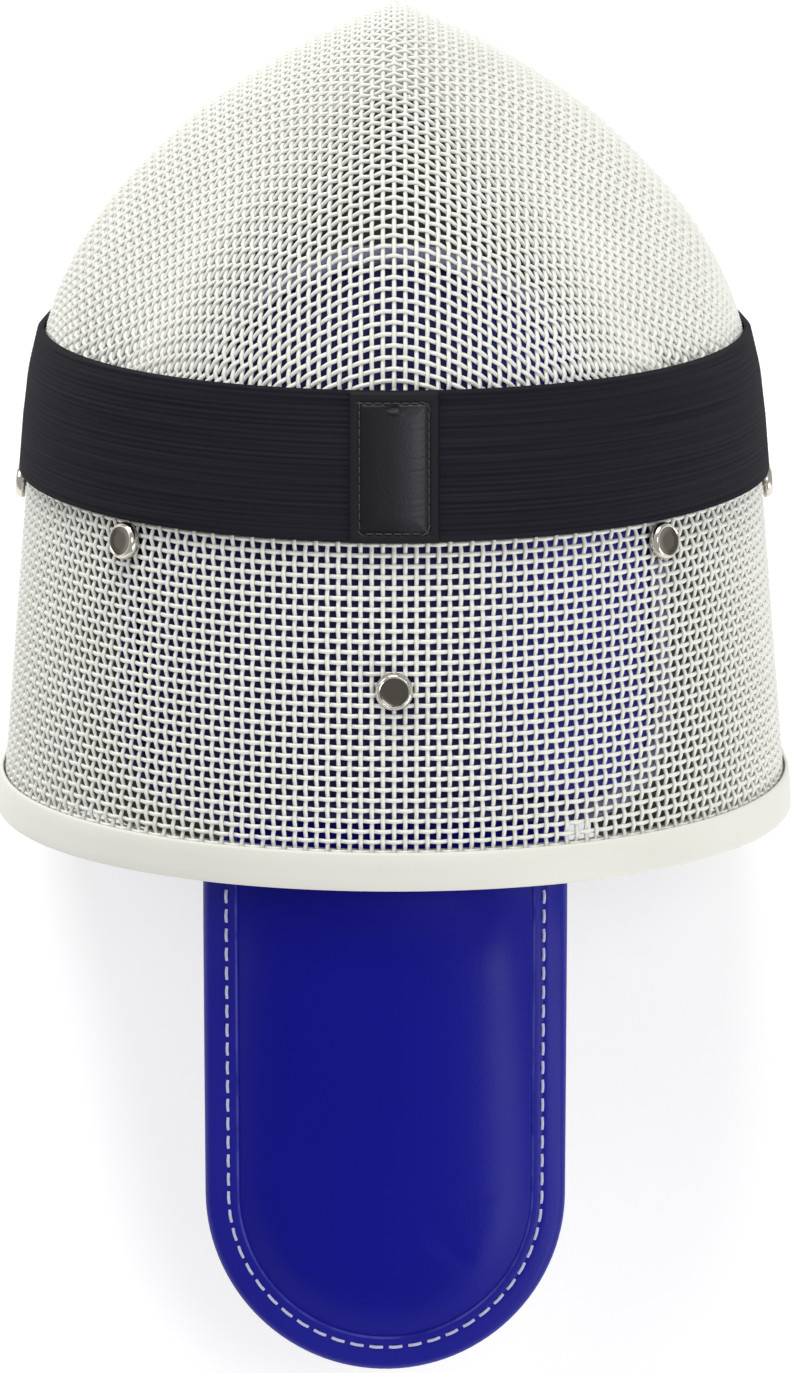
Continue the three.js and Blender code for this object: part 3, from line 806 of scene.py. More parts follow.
# Rear panel: rows in leaning planes, columns at equal distances from the ridge
REAR_ACROSS = 2.87
REAR_ALONG = 2.78


def rear_net():
    last = REAR_REACH + LEAN * REAR_SAG - UNDER_TRIM
    backs = np.arange(STRAP_BACK + SEAM_EDGE, last, REAR_ALONG)
    count = int(300 / REAR_ACROSS)
    arcs = REAR_ACROSS * np.arange(-count, count + 1)
    nodes = np.array([band_points(MESH_MIDDLE, back, arcs) for back in backs])
    depth = inside_rim(nodes[..., 1], nodes[..., 2]) - UNDER_TRIM
    return nodes, depth


# Front panel as the photograph shows it: the plan slope and spacing of the wires by distance from the ridge
ROW_FROM_RIDGE = [0, 3.5, 8, 15, 19, 26, 30, 38, 42, 49, 60, 70, 84]
ROW_SLOPE = [0.0, 0.176, 0.277, 0.466, 0.53, 0.675, 0.74, 0.87, 0.95, 1.11, 1.43, 1.65, 2.1]
COLUMN_FROM_RIDGE = [0, 11.4, 22.8, 34.3, 46, 58, 70, 82, 95]
COLUMN_GAP = [2.84, 2.67, 2.53, 2.36, 2.125, 1.9, 1.68, 1.36, 1.2]
RIDGE_REACHED = [0, 25, 31, 47, 64, 85, 120, 170, 220, 400]
RIDGE_GAP = [2.96, 2.96, 2.9, 2.69, 2.47, 2.32, 2.36, 2.6, 2.8, 2.8]
FACE_FROM = 66.0
FACE_LEVEL = -150.0
FACE_GAP = 2.95
FACE_DROOP = 0.2
FACE_COLUMNS = 70
RIDGE_START = -30.0
RIDGE_END = 330
PLAN_REACH = 78
PLAN_STEPS = 400
PAST_PLAN = 0.4 * np.arange(1, 220)


def ridge_line():
    """The ridge from behind the seam over the keel to the chin, with its length from the crown."""
    hood = Hood(MESH_MIDDLE)
    turn = np.linspace(0, math.pi / 2, 300)
    over = np.stack([hood.reach * np.sin(turn), (CROWN_RISE + MESH_MIDDLE) * np.cos(turn) - CROWN_RISE], 1)
    z = np.linspace(-CROWN_RISE, -CROWN_RISE - 1.2 * FACE_DROP, 300)[1:]
    down = np.stack([hood.keel(z), z], 1)
    back_y = np.linspace(-40, 0, 80)[:-1]
    behind = np.stack([back_y, hood.rise(back_y) - CROWN_RISE], 1)
    line = np.concatenate([behind, over, down])
    reached = lengths_along(line)
    reached -= reached[len(behind)]
    return line, reached


def dome_height(x, y):
    """Height of the middle of the mesh above the side level, at a place in plan."""
    hood = Hood(MESH_MIDDLE)
    x = np.abs(x)
    low = np.zeros_like(x)
    high = np.full_like(x, 1.0)
    for _ in range(40):
        middle = (low + high) / 2
        wide = hood.arch(y, middle) > x
        low = np.where(wide, middle, low)
        high = np.where(wide, high, middle)
    return hood.rise(y) * low - CROWN_RISE


def front_net():
    """The right half of the front panel's crossings: rows forward, columns out from the ridge."""
    line, reached = ridge_line()
    arcs = [RIDGE_START]
    while arcs[-1] < RIDGE_END:
        arcs.append(arcs[-1] + float(np.interp(abs(arcs[-1]), RIDGE_REACHED, RIDGE_GAP)))
    arcs = np.array(arcs)
    ridge = read_off(line, reached, arcs)
    x_of = [0.0]
    while x_of[-1] < PLAN_REACH:
        x_of.append(x_of[-1] + float(np.interp(x_of[-1], COLUMN_FROM_RIDGE, COLUMN_GAP)))
    x_of = np.array(x_of)
    fine = np.linspace(0, x_of[-1], PLAN_STEPS)
    slope = np.interp(fine, ROW_FROM_RIDGE, ROW_SLOPE)
    back = np.concatenate([[0], np.cumsum((slope[1:] + slope[:-1]) / 2 * np.diff(fine))])
    set_back = np.interp(x_of, fine, back)
    start = int(np.searchsorted(ridge[:, 0], FACE_FROM))
    nodes = np.zeros((len(arcs), FACE_COLUMNS, 3))
    count = len(x_of)
    for i in range(start + 1):
        y = ridge[i, 0] - set_back
        nodes[i, :count] = np.stack([x_of, y, dome_height(x_of, y)], 1)
        nodes[i, count:] = nodes[i, count - 1]
    first = dome_height(fine, ridge[start, 0] - back)
    drop = first[0] - first
    drop = np.concatenate([drop, drop[-1] + PAST_PLAN * FACE_DROOP])
    back = np.concatenate([back, back[-1] + PAST_PLAN])
    spaced = lengths_along(nodes[start, :count])
    spaced = np.concatenate([spaced, spaced[-1] + FACE_GAP * np.arange(1, FACE_COLUMNS - count + 1)])
    even = FACE_GAP * np.arange(FACE_COLUMNS)
    for i in range(start + 1, len(arcs)):
        turned = float(smooth(-ridge[i, 1], -ridge[start, 1], -FACE_LEVEL))
        line = face_row(ridge[i], back, drop, turned)
        reached = lengths_along(line)
        wanted = spaced + (even - spaced) * turned
        nodes[i] = read_off(line, reached, wanted)
    return nodes, count, start


def face_row(ridge_spot, back, drop, turned):
    """A wire from the keel round to the seam, at set distances back and down from where it starts."""
    hood = Hood(MESH_MIDDLE)
    y = ridge_spot[0] - back
    z = ridge_spot[1] - drop - (back * FACE_DROOP - drop) * turned
    x = hood.breadth(y, z)
    x[0] = 0
    return np.stack([x, y, z], 1)


def front_panel():
    right, count, start = front_net()
    from_seam = ahead_of_seam(right[..., 1], right[..., 2]) - SEAM_EDGE
    depth = np.minimum(from_seam, inside_rim(right[..., 1], right[..., 2]) - UNDER_TRIM)
    depth[: start + 1, count:] = -1.0
    nodes = np.concatenate([mirrored(right[:, :0:-1]), right], axis=1)
    depth = np.concatenate([depth[:, :0:-1], depth], axis=1)
    return nodes, depth


def edge_wire(back):
    """The wire that closes a panel along the seam."""
    arcs = np.arange(-320, 321, 2.0)
    points = band_points(MESH_MIDDLE, back, arcs)
    points = points[inside_rim(points[:, 1], points[:, 2]) > UNDER_TRIM]
    return points, outward(points)


def dress_panel(name, nodes, depth, back):
    away = outward(nodes.reshape(-1, 3)).reshape(nodes.shape)
    columns = woven(nodes, away, depth, 0)
    rows = woven(nodes.transpose(1, 0, 2), away.transpose(1, 0, 2), depth.T, 1)
    rows.append(edge_wire(back))
    for word, paths in (("_columns", columns), ("_rows", rows)):
        settle(wire_mesh(name + word, paths, FINISH["coated_wire"]), "mesh_white", name + "_mesh")


dress_panel("rear", *rear_net(), STRAP_BACK + SEAM_EDGE)
dress_panel("front", *front_panel(), STRAP_BACK - SEAM_EDGE)


# Closed forms from grids of points
def slab_solid(name, top, bottom, material, across=None, sides=True):
    """A closed slab between a top grid and a bottom grid, with a UV map by grid place."""
    n, m = top.shape[:2]
    size = n * m
    points = np.concatenate([top.reshape(-1, 3), bottom.reshape(-1, 3)])
    faces = grid_faces(n, m)
    faces += [tuple(size + k for k in face[::-1]) for face in faces]
    edges = [(i * m + j, (i + 1) * m + j) for i in range(n - 1) for j in ((0, m - 1) if sides else ())]
    edges += [(i * m + j, i * m + j + 1) for j in range(m - 1) for i in (0, n - 1)]
    faces += [(a, b, size + b, size + a) for a, b in edges]
    obj = new_object(name, placed(points), faces, material)
    layer = obj.data.uv_layers.new(name="UVMap")
    across = np.linspace(0, 1, m) if across is None else across
    place = np.stack(np.meshgrid(np.linspace(0, 1, n), across, indexing="ij"), -1).reshape(-1, 2)
    place = np.concatenate([place, place])
    corner = np.empty(len(obj.data.loops), np.int32)
    obj.data.loops.foreach_get("vertex_index", corner)
    layer.data.foreach_set("uv", place[corner].astype(np.float32).reshape(-1))
    return obj


# Rim trim: a channel section carried round the rim
TRIM_OUT = FIT + TRIM_WALL
TRIM_IN = -MESH_WALL - FIT - TRIM_WALL
INSIDE_MESH = -MESH_WALL - FIT
TRIM_SECTION = [
    (0.0, TRIM_IN + 0.5), (0.0, -1.3), (0.0, TRIM_OUT - 0.85), (0.12, TRIM_OUT - 0.4), (0.4, TRIM_OUT - 0.12),
    (0.9, TRIM_OUT), (3.0, TRIM_OUT + 0.05), (6.5, TRIM_OUT + 0.05), (TRIM_BAND - 0.7, TRIM_OUT),
    (TRIM_BAND - 0.2, TRIM_OUT - 0.2), (TRIM_BAND, TRIM_OUT - 0.55), (TRIM_BAND, FIT), (TRIM_BAND - 0.6, FIT),
    (TRIM_WEB, FIT), (TRIM_WEB, INSIDE_MESH), (TRIM_BAND - 0.6, INSIDE_MESH), (TRIM_BAND, INSIDE_MESH),
    (TRIM_BAND, TRIM_IN + 0.5), (TRIM_BAND - 0.5, TRIM_IN), (0.5, TRIM_IN),
]


def rim_line(inset, grow, dome=90, wall=60, corner=16, floor=90):
    """The right half of a line that runs at an inset from the rim, from the crown to the chin."""
    back = REAR_REACH + LEAN * REAR_SAG - inset / math.cos(RIM_LEAN)
    low = float(corner_top[1] + rear_inward[1] * inset)
    upper = leaning_half(grow, back, low, dome_steps=dome, wall_steps=wall)
    start = math.atan2(-rear_inward[1], -rear_inward[0])
    end = math.atan2(-floor_inward[1], -floor_inward[0])
    if end < start:
        end += 2 * math.pi
    turn = np.linspace(start, end, corner + 1)[1:]
    bend = corner_middle + (JAW_ROUND - inset) * np.stack([np.cos(turn), np.sin(turn)], 1)
    hood = Hood(grow)
    first = bend[-1]
    y = hood.reach - CHIN_BACK
    for _ in range(12):
        z = first[1] + (y - first[0]) * floor_ahead[1] / floor_ahead[0]
        y = float(hood.keel(z))
    share = np.sin(np.linspace(0, 1, floor + 1)[1:] * math.pi / 2)
    ahead = first[0] + share * (y - first[0])
    level = first[1] + (ahead - first[0]) * floor_ahead[1] / floor_ahead[0]
    side = np.concatenate([bend, np.stack([ahead, level], 1)])
    x = hood.wall(side[:, 0], side[:, 1])
    x[-1] = 0
    lower = np.concatenate([x[:, None], side], 1)
    return np.concatenate([upper, lower])


def rim_trim():
    sections = []
    for inset, grow in TRIM_SECTION:
        right = rim_line(inset, grow)
        sections.append(np.concatenate([right, mirrored(right[-2:0:-1])]))
    points = np.array(sections).transpose(1, 0, 2)
    faces = grid_faces(*points.shape[:2], wrap_rows=True, wrap_columns=True)
    obj = new_object("rim_binding", placed(points).reshape(-1, 3), faces, FINISH["trim_plastic"])
    settle(face_out(obj), "trim_white", "rim_trim")


rim_trim()


# Crown strap of ribbed elastic
RIBS = 28
RIB_DEPTH = 0.06
RIB_UNEVEN = 0.14
SELVEDGE = 0.012
EDGE_SHARE = 0.35


def strap_top(v):
    ridge = np.abs(np.sin(math.pi * RIBS * v)) ** 0.6
    uneven = 0.5 + 0.5 * math.sin(9.7 * v + 2.1 * math.sin(23.0 * v))
    selvedge = smooth(np.minimum(v, 1 - v), 0, SELVEDGE)
    full = STRAP_THICK * (EDGE_SHARE + (1 - EDGE_SHARE) * selvedge)
    return FIT + full - (RIB_DEPTH + RIB_UNEVEN * uneven) * (1 - ridge) * selvedge


def crown_strap():
    inner = np.linspace(SELVEDGE, 1 - SELVEDGE, RIBS * 5 + 1)
    across = np.concatenate([[0, SELVEDGE / 2], inner, [1 - SELVEDGE / 2, 1]])
    tops, bottoms = [], []
    for v in across:
        back = v * STRAP_WIDTH
        half = arc_at_depth(back, STRAP_END_DEPTH)
        arcs = np.linspace(-half, half, 190)
        tops.append(band_points(float(strap_top(v)), back, arcs))
        bottoms.append(band_points(FIT, back, arcs))
    top = np.array(tops).transpose(1, 0, 2)
    bottom = np.array(bottoms).transpose(1, 0, 2)
    obj = slab_solid("ribbed_strap", top, bottom, FINISH["ribbed_elastic"], across)
    settle(face_out(obj), "elastic_black", "crown_strap")


crown_strap()


# Vinyl patch over the strap: a stitched border round a slightly raised panel with a nick near its top
PATCH_LOW = STRAP_THICK + 2 * FIT
BORDER_SIDE = 2.6
BORDER_TOP = 2.9
BORDER_BOTTOM = 2.6
NICK_BACK = 4.0
NICK_ARC = -0.5
NICK_DEPTH = 0.75
LIP_RISE = 0.25
SEAM_DEPTH = 0.4
PANEL_SWELL = 0.35
CREASE_RISE = 0.022
PATCH_ROUND = 0.6
PATCH_STITCH = {"Pitch": 2.3, "Length": 1.75, "Radius": 0.26, "Rise": 0.44}


def patch_inset(arcs, back):
    """How far inside the patch's stitch line a place lies."""
    side = PATCH_WIDTH / 2 - np.abs(arcs) - BORDER_SIDE
    end = min(back - BORDER_TOP, STRAP_WIDTH - back - BORDER_BOTTOM)
    return np.minimum(side, end)


def patch_height(arcs, back):
    half = PATCH_WIDTH / 2
    to_edge = np.minimum(half - np.abs(arcs), min(back, STRAP_WIDTH - back))
    rounded = np.sqrt(np.clip(to_edge / PATCH_ROUND, 0, 1))
    inset = patch_inset(arcs, back)
    groove = SEAM_DEPTH * np.exp(-((inset / 0.5) ** 2))
    panel = PANEL_SWELL * np.sin(np.clip(inset / 4.5, 0, 1) * math.pi / 2)
    aside, past = arcs - NICK_ARC, back - NICK_BACK
    nick = NICK_DEPTH * np.exp(-((aside / 1.3) ** 2) - (past / 0.55) ** 2)
    lip = LIP_RISE * np.exp(-(((aside - 0.8) / 1.4) ** 2) - ((past - 1.3) / 0.5) ** 2)
    uneven = math.sin(back * 0.83 + 0.6) * math.sin(back * 0.31 + 2.0)
    creased = smooth(arcs, 1.0, 5.0) * smooth(inset, 0.2, 1.2)
    creases = CREASE_RISE * uneven * np.sin(back * 3.1 + arcs * 0.4) * creased
    return (PATCH_THICK - 0.25) * rounded - groove * rounded + panel - nick + lip + creases


def strap_patch():
    half = PATCH_WIDTH / 2
    arcs = np.linspace(-half, half, 110)
    across = np.linspace(0, STRAP_WIDTH, 180)
    tops, bottoms = [], []
    for back in across:
        low = band_points(PATCH_LOW, back, arcs)
        high = band_points(PATCH_LOW + 1, back, arcs)
        height = np.maximum(patch_height(arcs, back), 0.02)
        bottoms.append(low)
        tops.append(low + (high - low) * height[:, None])
    obj = slab_solid("strap_patch_cover", np.array(tops), np.array(bottoms), FINISH["black_vinyl"])
    settle(face_out(obj), "vinyl_black", "strap_patch")


strap_patch()


def patch_stitches():
    half = PATCH_WIDTH / 2 - BORDER_SIDE
    top, bottom = BORDER_TOP, STRAP_WIDTH - BORDER_BOTTOM
    corners = [(-half, top), (half, top), (half, bottom), (-half, bottom), (-half, top)]
    reached = lengths_along(np.array(corners))
    places = []
    for k in range(4):
        count = int((reached[k + 1] - reached[k]) / 0.5)
        along = np.linspace(reached[k], reached[k + 1], count, endpoint=False)
        places.extend(read_off(np.array(corners), reached, along))
    groove = PATCH_LOW + PATCH_THICK - 0.62
    points = np.array([band_points(groove, back, [x])[0] for x, back in places])
    stitches("patch_stitching", points, outward(points), PATCH_STITCH, "black_thread", "vinyl_black")


# Snap studs and rivets, turned about their own axes
def stud_section(base, through, rise):
    r = STUD_RADIUS
    return [
        (0.0, base + rise * 0.93), (0.40 * r, base + rise * 0.93), (0.74 * r, base + rise * 0.93),
        (0.765 * r, base + rise * 0.95), (0.79 * r, base + rise), (0.83 * r, base + rise),
        (0.89 * r, base + rise * 0.90), (0.96 * r, base + rise * 0.66), (r, base + rise * 0.36),
        (0.99 * r, base + 0.12), (0.95 * r, base), (POST_R, base), (POST_R, -through),
        (BACK_R - 0.3, -through), (BACK_R, -through - 0.3), (BACK_R, -through - BACK_T + 0.3),
        (BACK_R - 0.3, -through - BACK_T), (0.0, -through - BACK_T),
    ]


CAP_FLAT_UP_TO = 2
POST_R = 1.6
BACK_R = 5.5
BACK_T = 1.2
LINING_THICK = 10.0
STUD_STEPS = 48
strap_rear = STRAP_BACK + STRAP_WIDTH / 2
facet_sag = CROWN_RISE * (1 - math.cos(math.pi / 36))
disc_sag = BACK_R**2 / (2 * CROWN_HALF)
under_pad = MESH_WALL + FIT + PAD_THICK
behind_pad = under_pad + FIT + facet_sag + disc_sag
tongue_root = under_pad + TONGUE_CLEAR
behind_lining = MESH_WALL + 3 * FIT + LINING_THICK + facet_sag + disc_sag


SMALL = 0.01


def surface_spot(y, z, side):
    """A point of the hood's face in side view and the direction out of it."""
    half = Hood().breadth
    along_y = [side * float(half(y + SMALL, z) - half(y - SMALL, z)), 2 * SMALL, 0]
    along_z = [side * float(half(y, z + SMALL) - half(y, z - SMALL)), 0, 2 * SMALL]
    return np.array([side * float(half(y, z)), y, z]), unit(np.cross(along_y, along_z) * side)


def crest_spot(y):
    rise = Hood().rise
    slope = float(rise(y + SMALL) - rise(y - SMALL)) / (2 * SMALL)
    return np.array([0, y, float(rise(y)) - CROWN_RISE]), unit([0, -slope, 1.0])


def turned_stud(name, node, spot, base, through):
    point, out = spot
    section = stud_section(base, through, STUD_RISE)
    side = unit(np.cross(out, [0, 1.0, 0]))
    other = np.cross(out, side)
    points = []
    for k in range(STUD_STEPS):
        turn = 2 * math.pi * k / STUD_STEPS
        ray = math.cos(turn) * side + math.sin(turn) * other
        points.append([point + out * h + ray * r for r, h in section])
    faces = grid_faces(STUD_STEPS, len(section), wrap_rows=True)
    obj = new_object(name, placed(points).reshape(-1, 3), faces, FINISH["nickel_plate"])
    mark(obj, "cap_flat", [1.0 if k <= CAP_FLAT_UP_TO else 0.0 for k in range(len(section))] * STUD_STEPS)
    settle(face_out(obj), "nickel", node)


def behind_strap(depth):
    return -(strap_rear + STUD_FROM_STRAP) + LEAN * depth


upper_depth = CROWN_RISE * (1 - math.cos(STUD_SIDE_ANGLE))
upper_y = behind_strap(upper_depth)
upper_z = float(Hood(0.0).rise(upper_y)) * math.cos(STUD_SIDE_ANGLE) - CROWN_RISE
rivet_depth = STRAP_END_DEPTH - RIVET_ABOVE_END
rivet_y = -STRAP_BACK + LEAN * rivet_depth
through_tongue = tongue_root + TONGUE_EDGE + 2 * FIT
turned_stud("snap_centre", "stud_centre", crest_spot(-STUD_CENTRE_BACK), FIT, through_tongue)
for side, word in ((1, "right"), (-1, "left")):
    turned_stud("snap_" + word, "stud_" + word, surface_spot(upper_y, upper_z, side), FIT, behind_pad)
    low_spot = surface_spot(behind_strap(CROWN_RISE), -CROWN_RISE - 0.02, side)
    turned_stud("snap_side_" + word, "stud_side_" + word, low_spot, FIT, behind_lining)
    end_spot = surface_spot(rivet_y, -rivet_depth, side)
    turned_stud("strap_rivet_" + word, "rivet_" + word, end_spot, STRAP_THICK + 2 * FIT, behind_lining)


# Cloth pressure, for the padded pieces
def blown(obj, pressure, cap, held="", frames=20):
    """Cloth pressure for a few frames, with every point kept within the cap of where it started."""
    start = vertex_array(obj)
    cloth = obj.modifiers.new("padding", "CLOTH")
    cloth.settings.use_pressure = True
    cloth.settings.uniform_pressure_force = pressure
    cloth.settings.tension_stiffness = 25
    cloth.settings.bending_stiffness = 0.5
    cloth.settings.vertex_group_mass = held
    cloth.settings.effector_weights.gravity = 0
    cloth.point_cache.frame_start = 1
    cloth.point_cache.frame_end = frames
    scene = bpy.context.scene
    for number in range(1, frames + 1):
        scene.frame_set(number)
    evaluated(obj)
    scene.frame_set(1)
    moved = vertex_array(obj) - start
    far = np.linalg.norm(moved, axis=1, keepdims=True)
    return moved_to(obj, start + moved * np.minimum(1, cap / np.maximum(far, 1e-9)))


# Tongue: a padded tab with a bound and stitched border, made in rings that follow its outline
INSETS = [
    0, 0.15, 0.45, 0.9, 1.4, 2.2, 3.2, 4.2, 5.0, 5.6, 6.0, 6.3, 6.6, 7.0, 7.6, 8.2, 8.7, 8.95, 9.2, 9.5, 10.2,
    11.4, 13, 15, 17.5, 20, 23, 26, 29, 32, 35, 38, 41, 44, TONGUE_HALF,
]
EDGE_ROUND = 1.2
BORDER_SWELL = 0.25
STITCH_GROOVE = 0.3
BOUND_STEP = 0.5
RIM_BEND = 25
TONGUE_PRESSURE = 3.0
TONGUE_BLOWN = 0.0016
TONGUE_STITCH = {"Pitch": 5.15, "Length": 3.35, "Radius": 0.42, "Rise": 0.72}


def tongue_path(y):
    crest_rim = REAR_SAG
    crest_stud = REAR_SAG * (STUD_CENTRE_BACK / REAR_REACH) ** 2
    at_rim = tongue_root + crest_rim + TONGUE_EDGE / 2
    root = tongue_root + crest_stud + TONGUE_EDGE / 2
    slope = (at_rim - root) / (REAR_REACH - STUD_CENTRE_BACK)
    inside = root + slope * (-y - STUD_CENTRE_BACK)
    outside = at_rim + math.tan(TONGUE_FALL) * (-y - REAR_REACH)
    blend = smooth(-y, REAR_REACH - RIM_BEND, REAR_REACH + RIM_BEND)
    return -(inside + (outside - inside) * blend)


def tongue_outline(steps=60):
    """Places round the tongue's edge with the direction inward: right side, round tip, left side."""
    straight = np.linspace(-TONGUE_ROOT, -TONGUE_TIP + TONGUE_HALF, steps)
    turn = np.linspace(0, -math.pi, steps)[1:-1]
    centre = -TONGUE_TIP + TONGUE_HALF
    right = [((TONGUE_HALF, y), (-1.0, 0.0)) for y in straight]
    rays = [(math.cos(t), math.sin(t)) for t in turn]
    tip = [((TONGUE_HALF * c, centre + TONGUE_HALF * s), (-c, -s)) for c, s in rays]
    left = [((-TONGUE_HALF, y), (1.0, 0.0)) for y in straight[::-1]]
    return right + tip + left


def tongue_layers(inset, y):
    """Half thickness at an inset from the edge and how far the root is held flat."""
    rooted = float(smooth(-y, PAD_REAR + BINDING_WIDTH, REAR_REACH + PAD_CORNER))
    border = TONGUE_EDGE / 2 * math.sqrt(min(inset / EDGE_ROUND, 1))
    border += BORDER_SWELL * math.sin(min(inset / BOUND, 1) * math.pi)
    groove = STITCH_GROOVE * math.exp(-(((inset - STITCH_INSET) / 0.55) ** 2))
    step = BOUND_STEP * float(smooth(inset, BOUND - 0.3, BOUND + 0.25))
    swell = math.sin(min(max(inset - BOUND, 0) / TONGUE_SWELL, 1) * math.pi / 2)
    padding = (TONGUE_THICK - TONGUE_EDGE + 0.6) / 2 * swell * rooted
    return border - groove - step + padding, padding * (1 - rooted)


def tongue_spot(x, y, lift):
    past = max(-y - REAR_REACH, 0) / (TONGUE_TIP - REAR_REACH)
    curl = TONGUE_CURL + TONGUE_FLATTEN * past
    aside = x - TONGUE_ASIDE
    return [aside, y, float(tongue_path(y)) + lift - curl + math.sqrt(curl**2 - aside**2)]


def tongue():
    outline = tongue_outline()
    top = np.zeros((len(outline), len(INSETS), 3))
    bottom = np.zeros_like(top)
    for i, ((x, y), (dx, dy)) in enumerate(outline):
        for j, inset in enumerate(INSETS):
            px, py = x + dx * inset, y + dy * inset
            lift, drop = tongue_layers(inset, py)
            top[i, j] = tongue_spot(px, py, lift - drop)
            bottom[i, j] = tongue_spot(px, py, -lift - drop)
    obj = slab_solid("padded_tongue", top, bottom, FINISH["blue_vinyl"], sides=False)
    insets = np.tile(np.tile(INSETS, len(outline)), 2)
    mark(obj, "from_edge", insets)
    held = obj.vertex_groups.new(name="held")
    roots = np.tile(np.repeat([y for (x, y), _ in outline], len(INSETS)), 2)
    firm = (insets < BOUND + 0.6) | (roots > -REAR_REACH - 2)
    held.add([int(k) for k in np.flatnonzero(firm)], 1.0, "REPLACE")
    face_out(obj)
    blown(obj, TONGUE_PRESSURE, TONGUE_BLOWN, held="held")
    obj.vertex_groups.clear()
    settle(obj, "tongue_blue", "tongue", fill=0.5)


tongue()


def tongue_stitches():
    places = []
    away = []
    for (x, y), (dx, dy) in tongue_outline(90):
        if y > -REAR_REACH + 8:
            continue
        px, py = x + dx * STITCH_INSET, y + dy * STITCH_INSET
        lift, drop = tongue_layers(STITCH_INSET, py)
        over = lift - drop
        places.append(tongue_spot(px, py, over - 0.05))
        ahead = np.subtract(tongue_spot(px, py - 0.1, over), tongue_spot(px, py + 0.1, over))
        side = np.subtract(tongue_spot(px + 0.1, py, over), tongue_spot(px - 0.1, py, over))
        up = unit(np.cross(ahead, side))
        away.append(up * np.sign(up[2]))
    places, away = np.array(places), np.array(away)
    stitches("tongue_stitching", places, away, TONGUE_STITCH, "white_thread", "trim_white")


# Stitches along a line, made by geometry nodes
def stitch_tree():
    """Short bowed threads at even steps along a line, turned to the line and to its outward direction."""
    tree = bpy.data.node_groups.new("stitch_line", "GeometryNodeTree")
    face = tree.interface
    face.new_socket("Line", in_out="INPUT", socket_type="NodeSocketGeometry")
    for name in ("Pitch", "Length", "Radius", "Rise"):
        face.new_socket(name, in_out="INPUT", socket_type="NodeSocketFloat")
    face.new_socket("Thread", in_out="INPUT", socket_type="NodeSocketMaterial")
    face.new_socket("Stitches", in_out="OUTPUT", socket_type="NodeSocketGeometry")
    Sock.tree = tree
    out = Sock.out
    towards = "FunctionNodeAlignRotationToVector"
    vector = {"data_type": "FLOAT_VECTOR"}
    sockets = Sock.node("NodeGroupInput").outputs
    line, pitch, length, radius, rise, thread_finish = (Sock(sockets[k]) for k in range(6))
    start, end = joined(length * -0.5), joined(length * 0.5)
    middle = joined(z=rise)
    bow = out("GeometryNodeCurveQuadraticBezier", Resolution=6, Start=start, Middle=middle, End=end)
    section = out("GeometryNodeCurvePrimitiveCircle", Resolution=8, Radius=radius)
    thread = out("GeometryNodeCurveToMesh", Curve=bow, Profile_Curve=section, Fill_Caps=True)
    curve = out("GeometryNodeMeshToCurve", Mesh=line)
    spaced = out("GeometryNodeResampleCurve", {"mode": "LENGTH"}, Curve=curve, Length=pitch)
    tangent = out("GeometryNodeInputTangent")
    facing = out("GeometryNodeInputNamedAttribute", vector, "Attribute", Name="face_out")
    turned = out(towards, {"axis": "X"}, Vector=tangent)
    turned = out(towards, {"axis": "Z", "pivot_axis": "X"}, Rotation=turned, Vector=facing)
    laid = out("GeometryNodeInstanceOnPoints", Points=spaced, Instance=thread, Rotation=turned)
    real = out("GeometryNodeRealizeInstances", Geometry=laid)
    soft = out("GeometryNodeSetShadeSmooth", Geometry=real)
    Sock.node("NodeGroupOutput", i0=out("GeometryNodeSetMaterial", Geometry=soft, Material=thread_finish))
    return tree


STITCH_TREE = stitch_tree()


def stitches(name, points, away, sizes, thread, slot):
    """Stitches along a line of points, with their sizes, in hood millimetres."""
    mesh = bpy.data.meshes.new(name)
    mesh.from_pydata([tuple(p) for p in placed(points)], [(k, k + 1) for k in range(len(points) - 1)], [])
    facing = mesh.attributes.new("face_out", "FLOAT_VECTOR", "POINT")
    facing.data.foreach_set("vector", tipped(away).astype(np.float32).reshape(-1))
    obj = added(name, mesh)
    change = obj.modifiers.new("stitches", "NODES")
    change.node_group = STITCH_TREE
    for item in STITCH_TREE.interface.items_tree:
        if item.name in sizes:
            change[item.identifier] = sizes[item.name] * MM
        if item.name == "Thread":
            change[item.identifier] = FINISH[thread]
    settle(evaluated(obj), slot)


tongue_stitches()
patch_stitches()


# Padding blown up by cloth pressure from a slightly smaller copy of its solid
def copy_of(node, name, material):
    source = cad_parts[node]
    mesh = source.data.copy()
    mesh.transform(source.matrix_world)
    mesh.materials.clear()
    mesh.materials.append(material)
    work = bmesh.new()
    work.from_mesh(mesh)
    bmesh.ops.remove_doubles(work, verts=work.verts, dist=1e-5)
    work.to_mesh(mesh)
    work.free()
    return added(name, mesh)


def drawn_in(obj, inset, reach):
    """Faces that lie along the hood go in by the inset, and the edges reach out towards their binding."""
    points = vertex_array(obj)
    normals = vertex_array(obj, "normal")
    spot = hood_place(points)
    away = tipped(unit((spot + [0, 0, CROWN_RISE]) * [1, 0, 1]))
    facing = np.abs(np.sum(normals * away, axis=1))[:, None]
    return moved_to(obj, points - normals * (inset * facing - reach * (1 - facing)))


LINING_TUCK = 0.085
CORNER_TUCK = 0.30
RIGHT_SHARE = 0.45
LINING_DRAWN_IN = 1.5


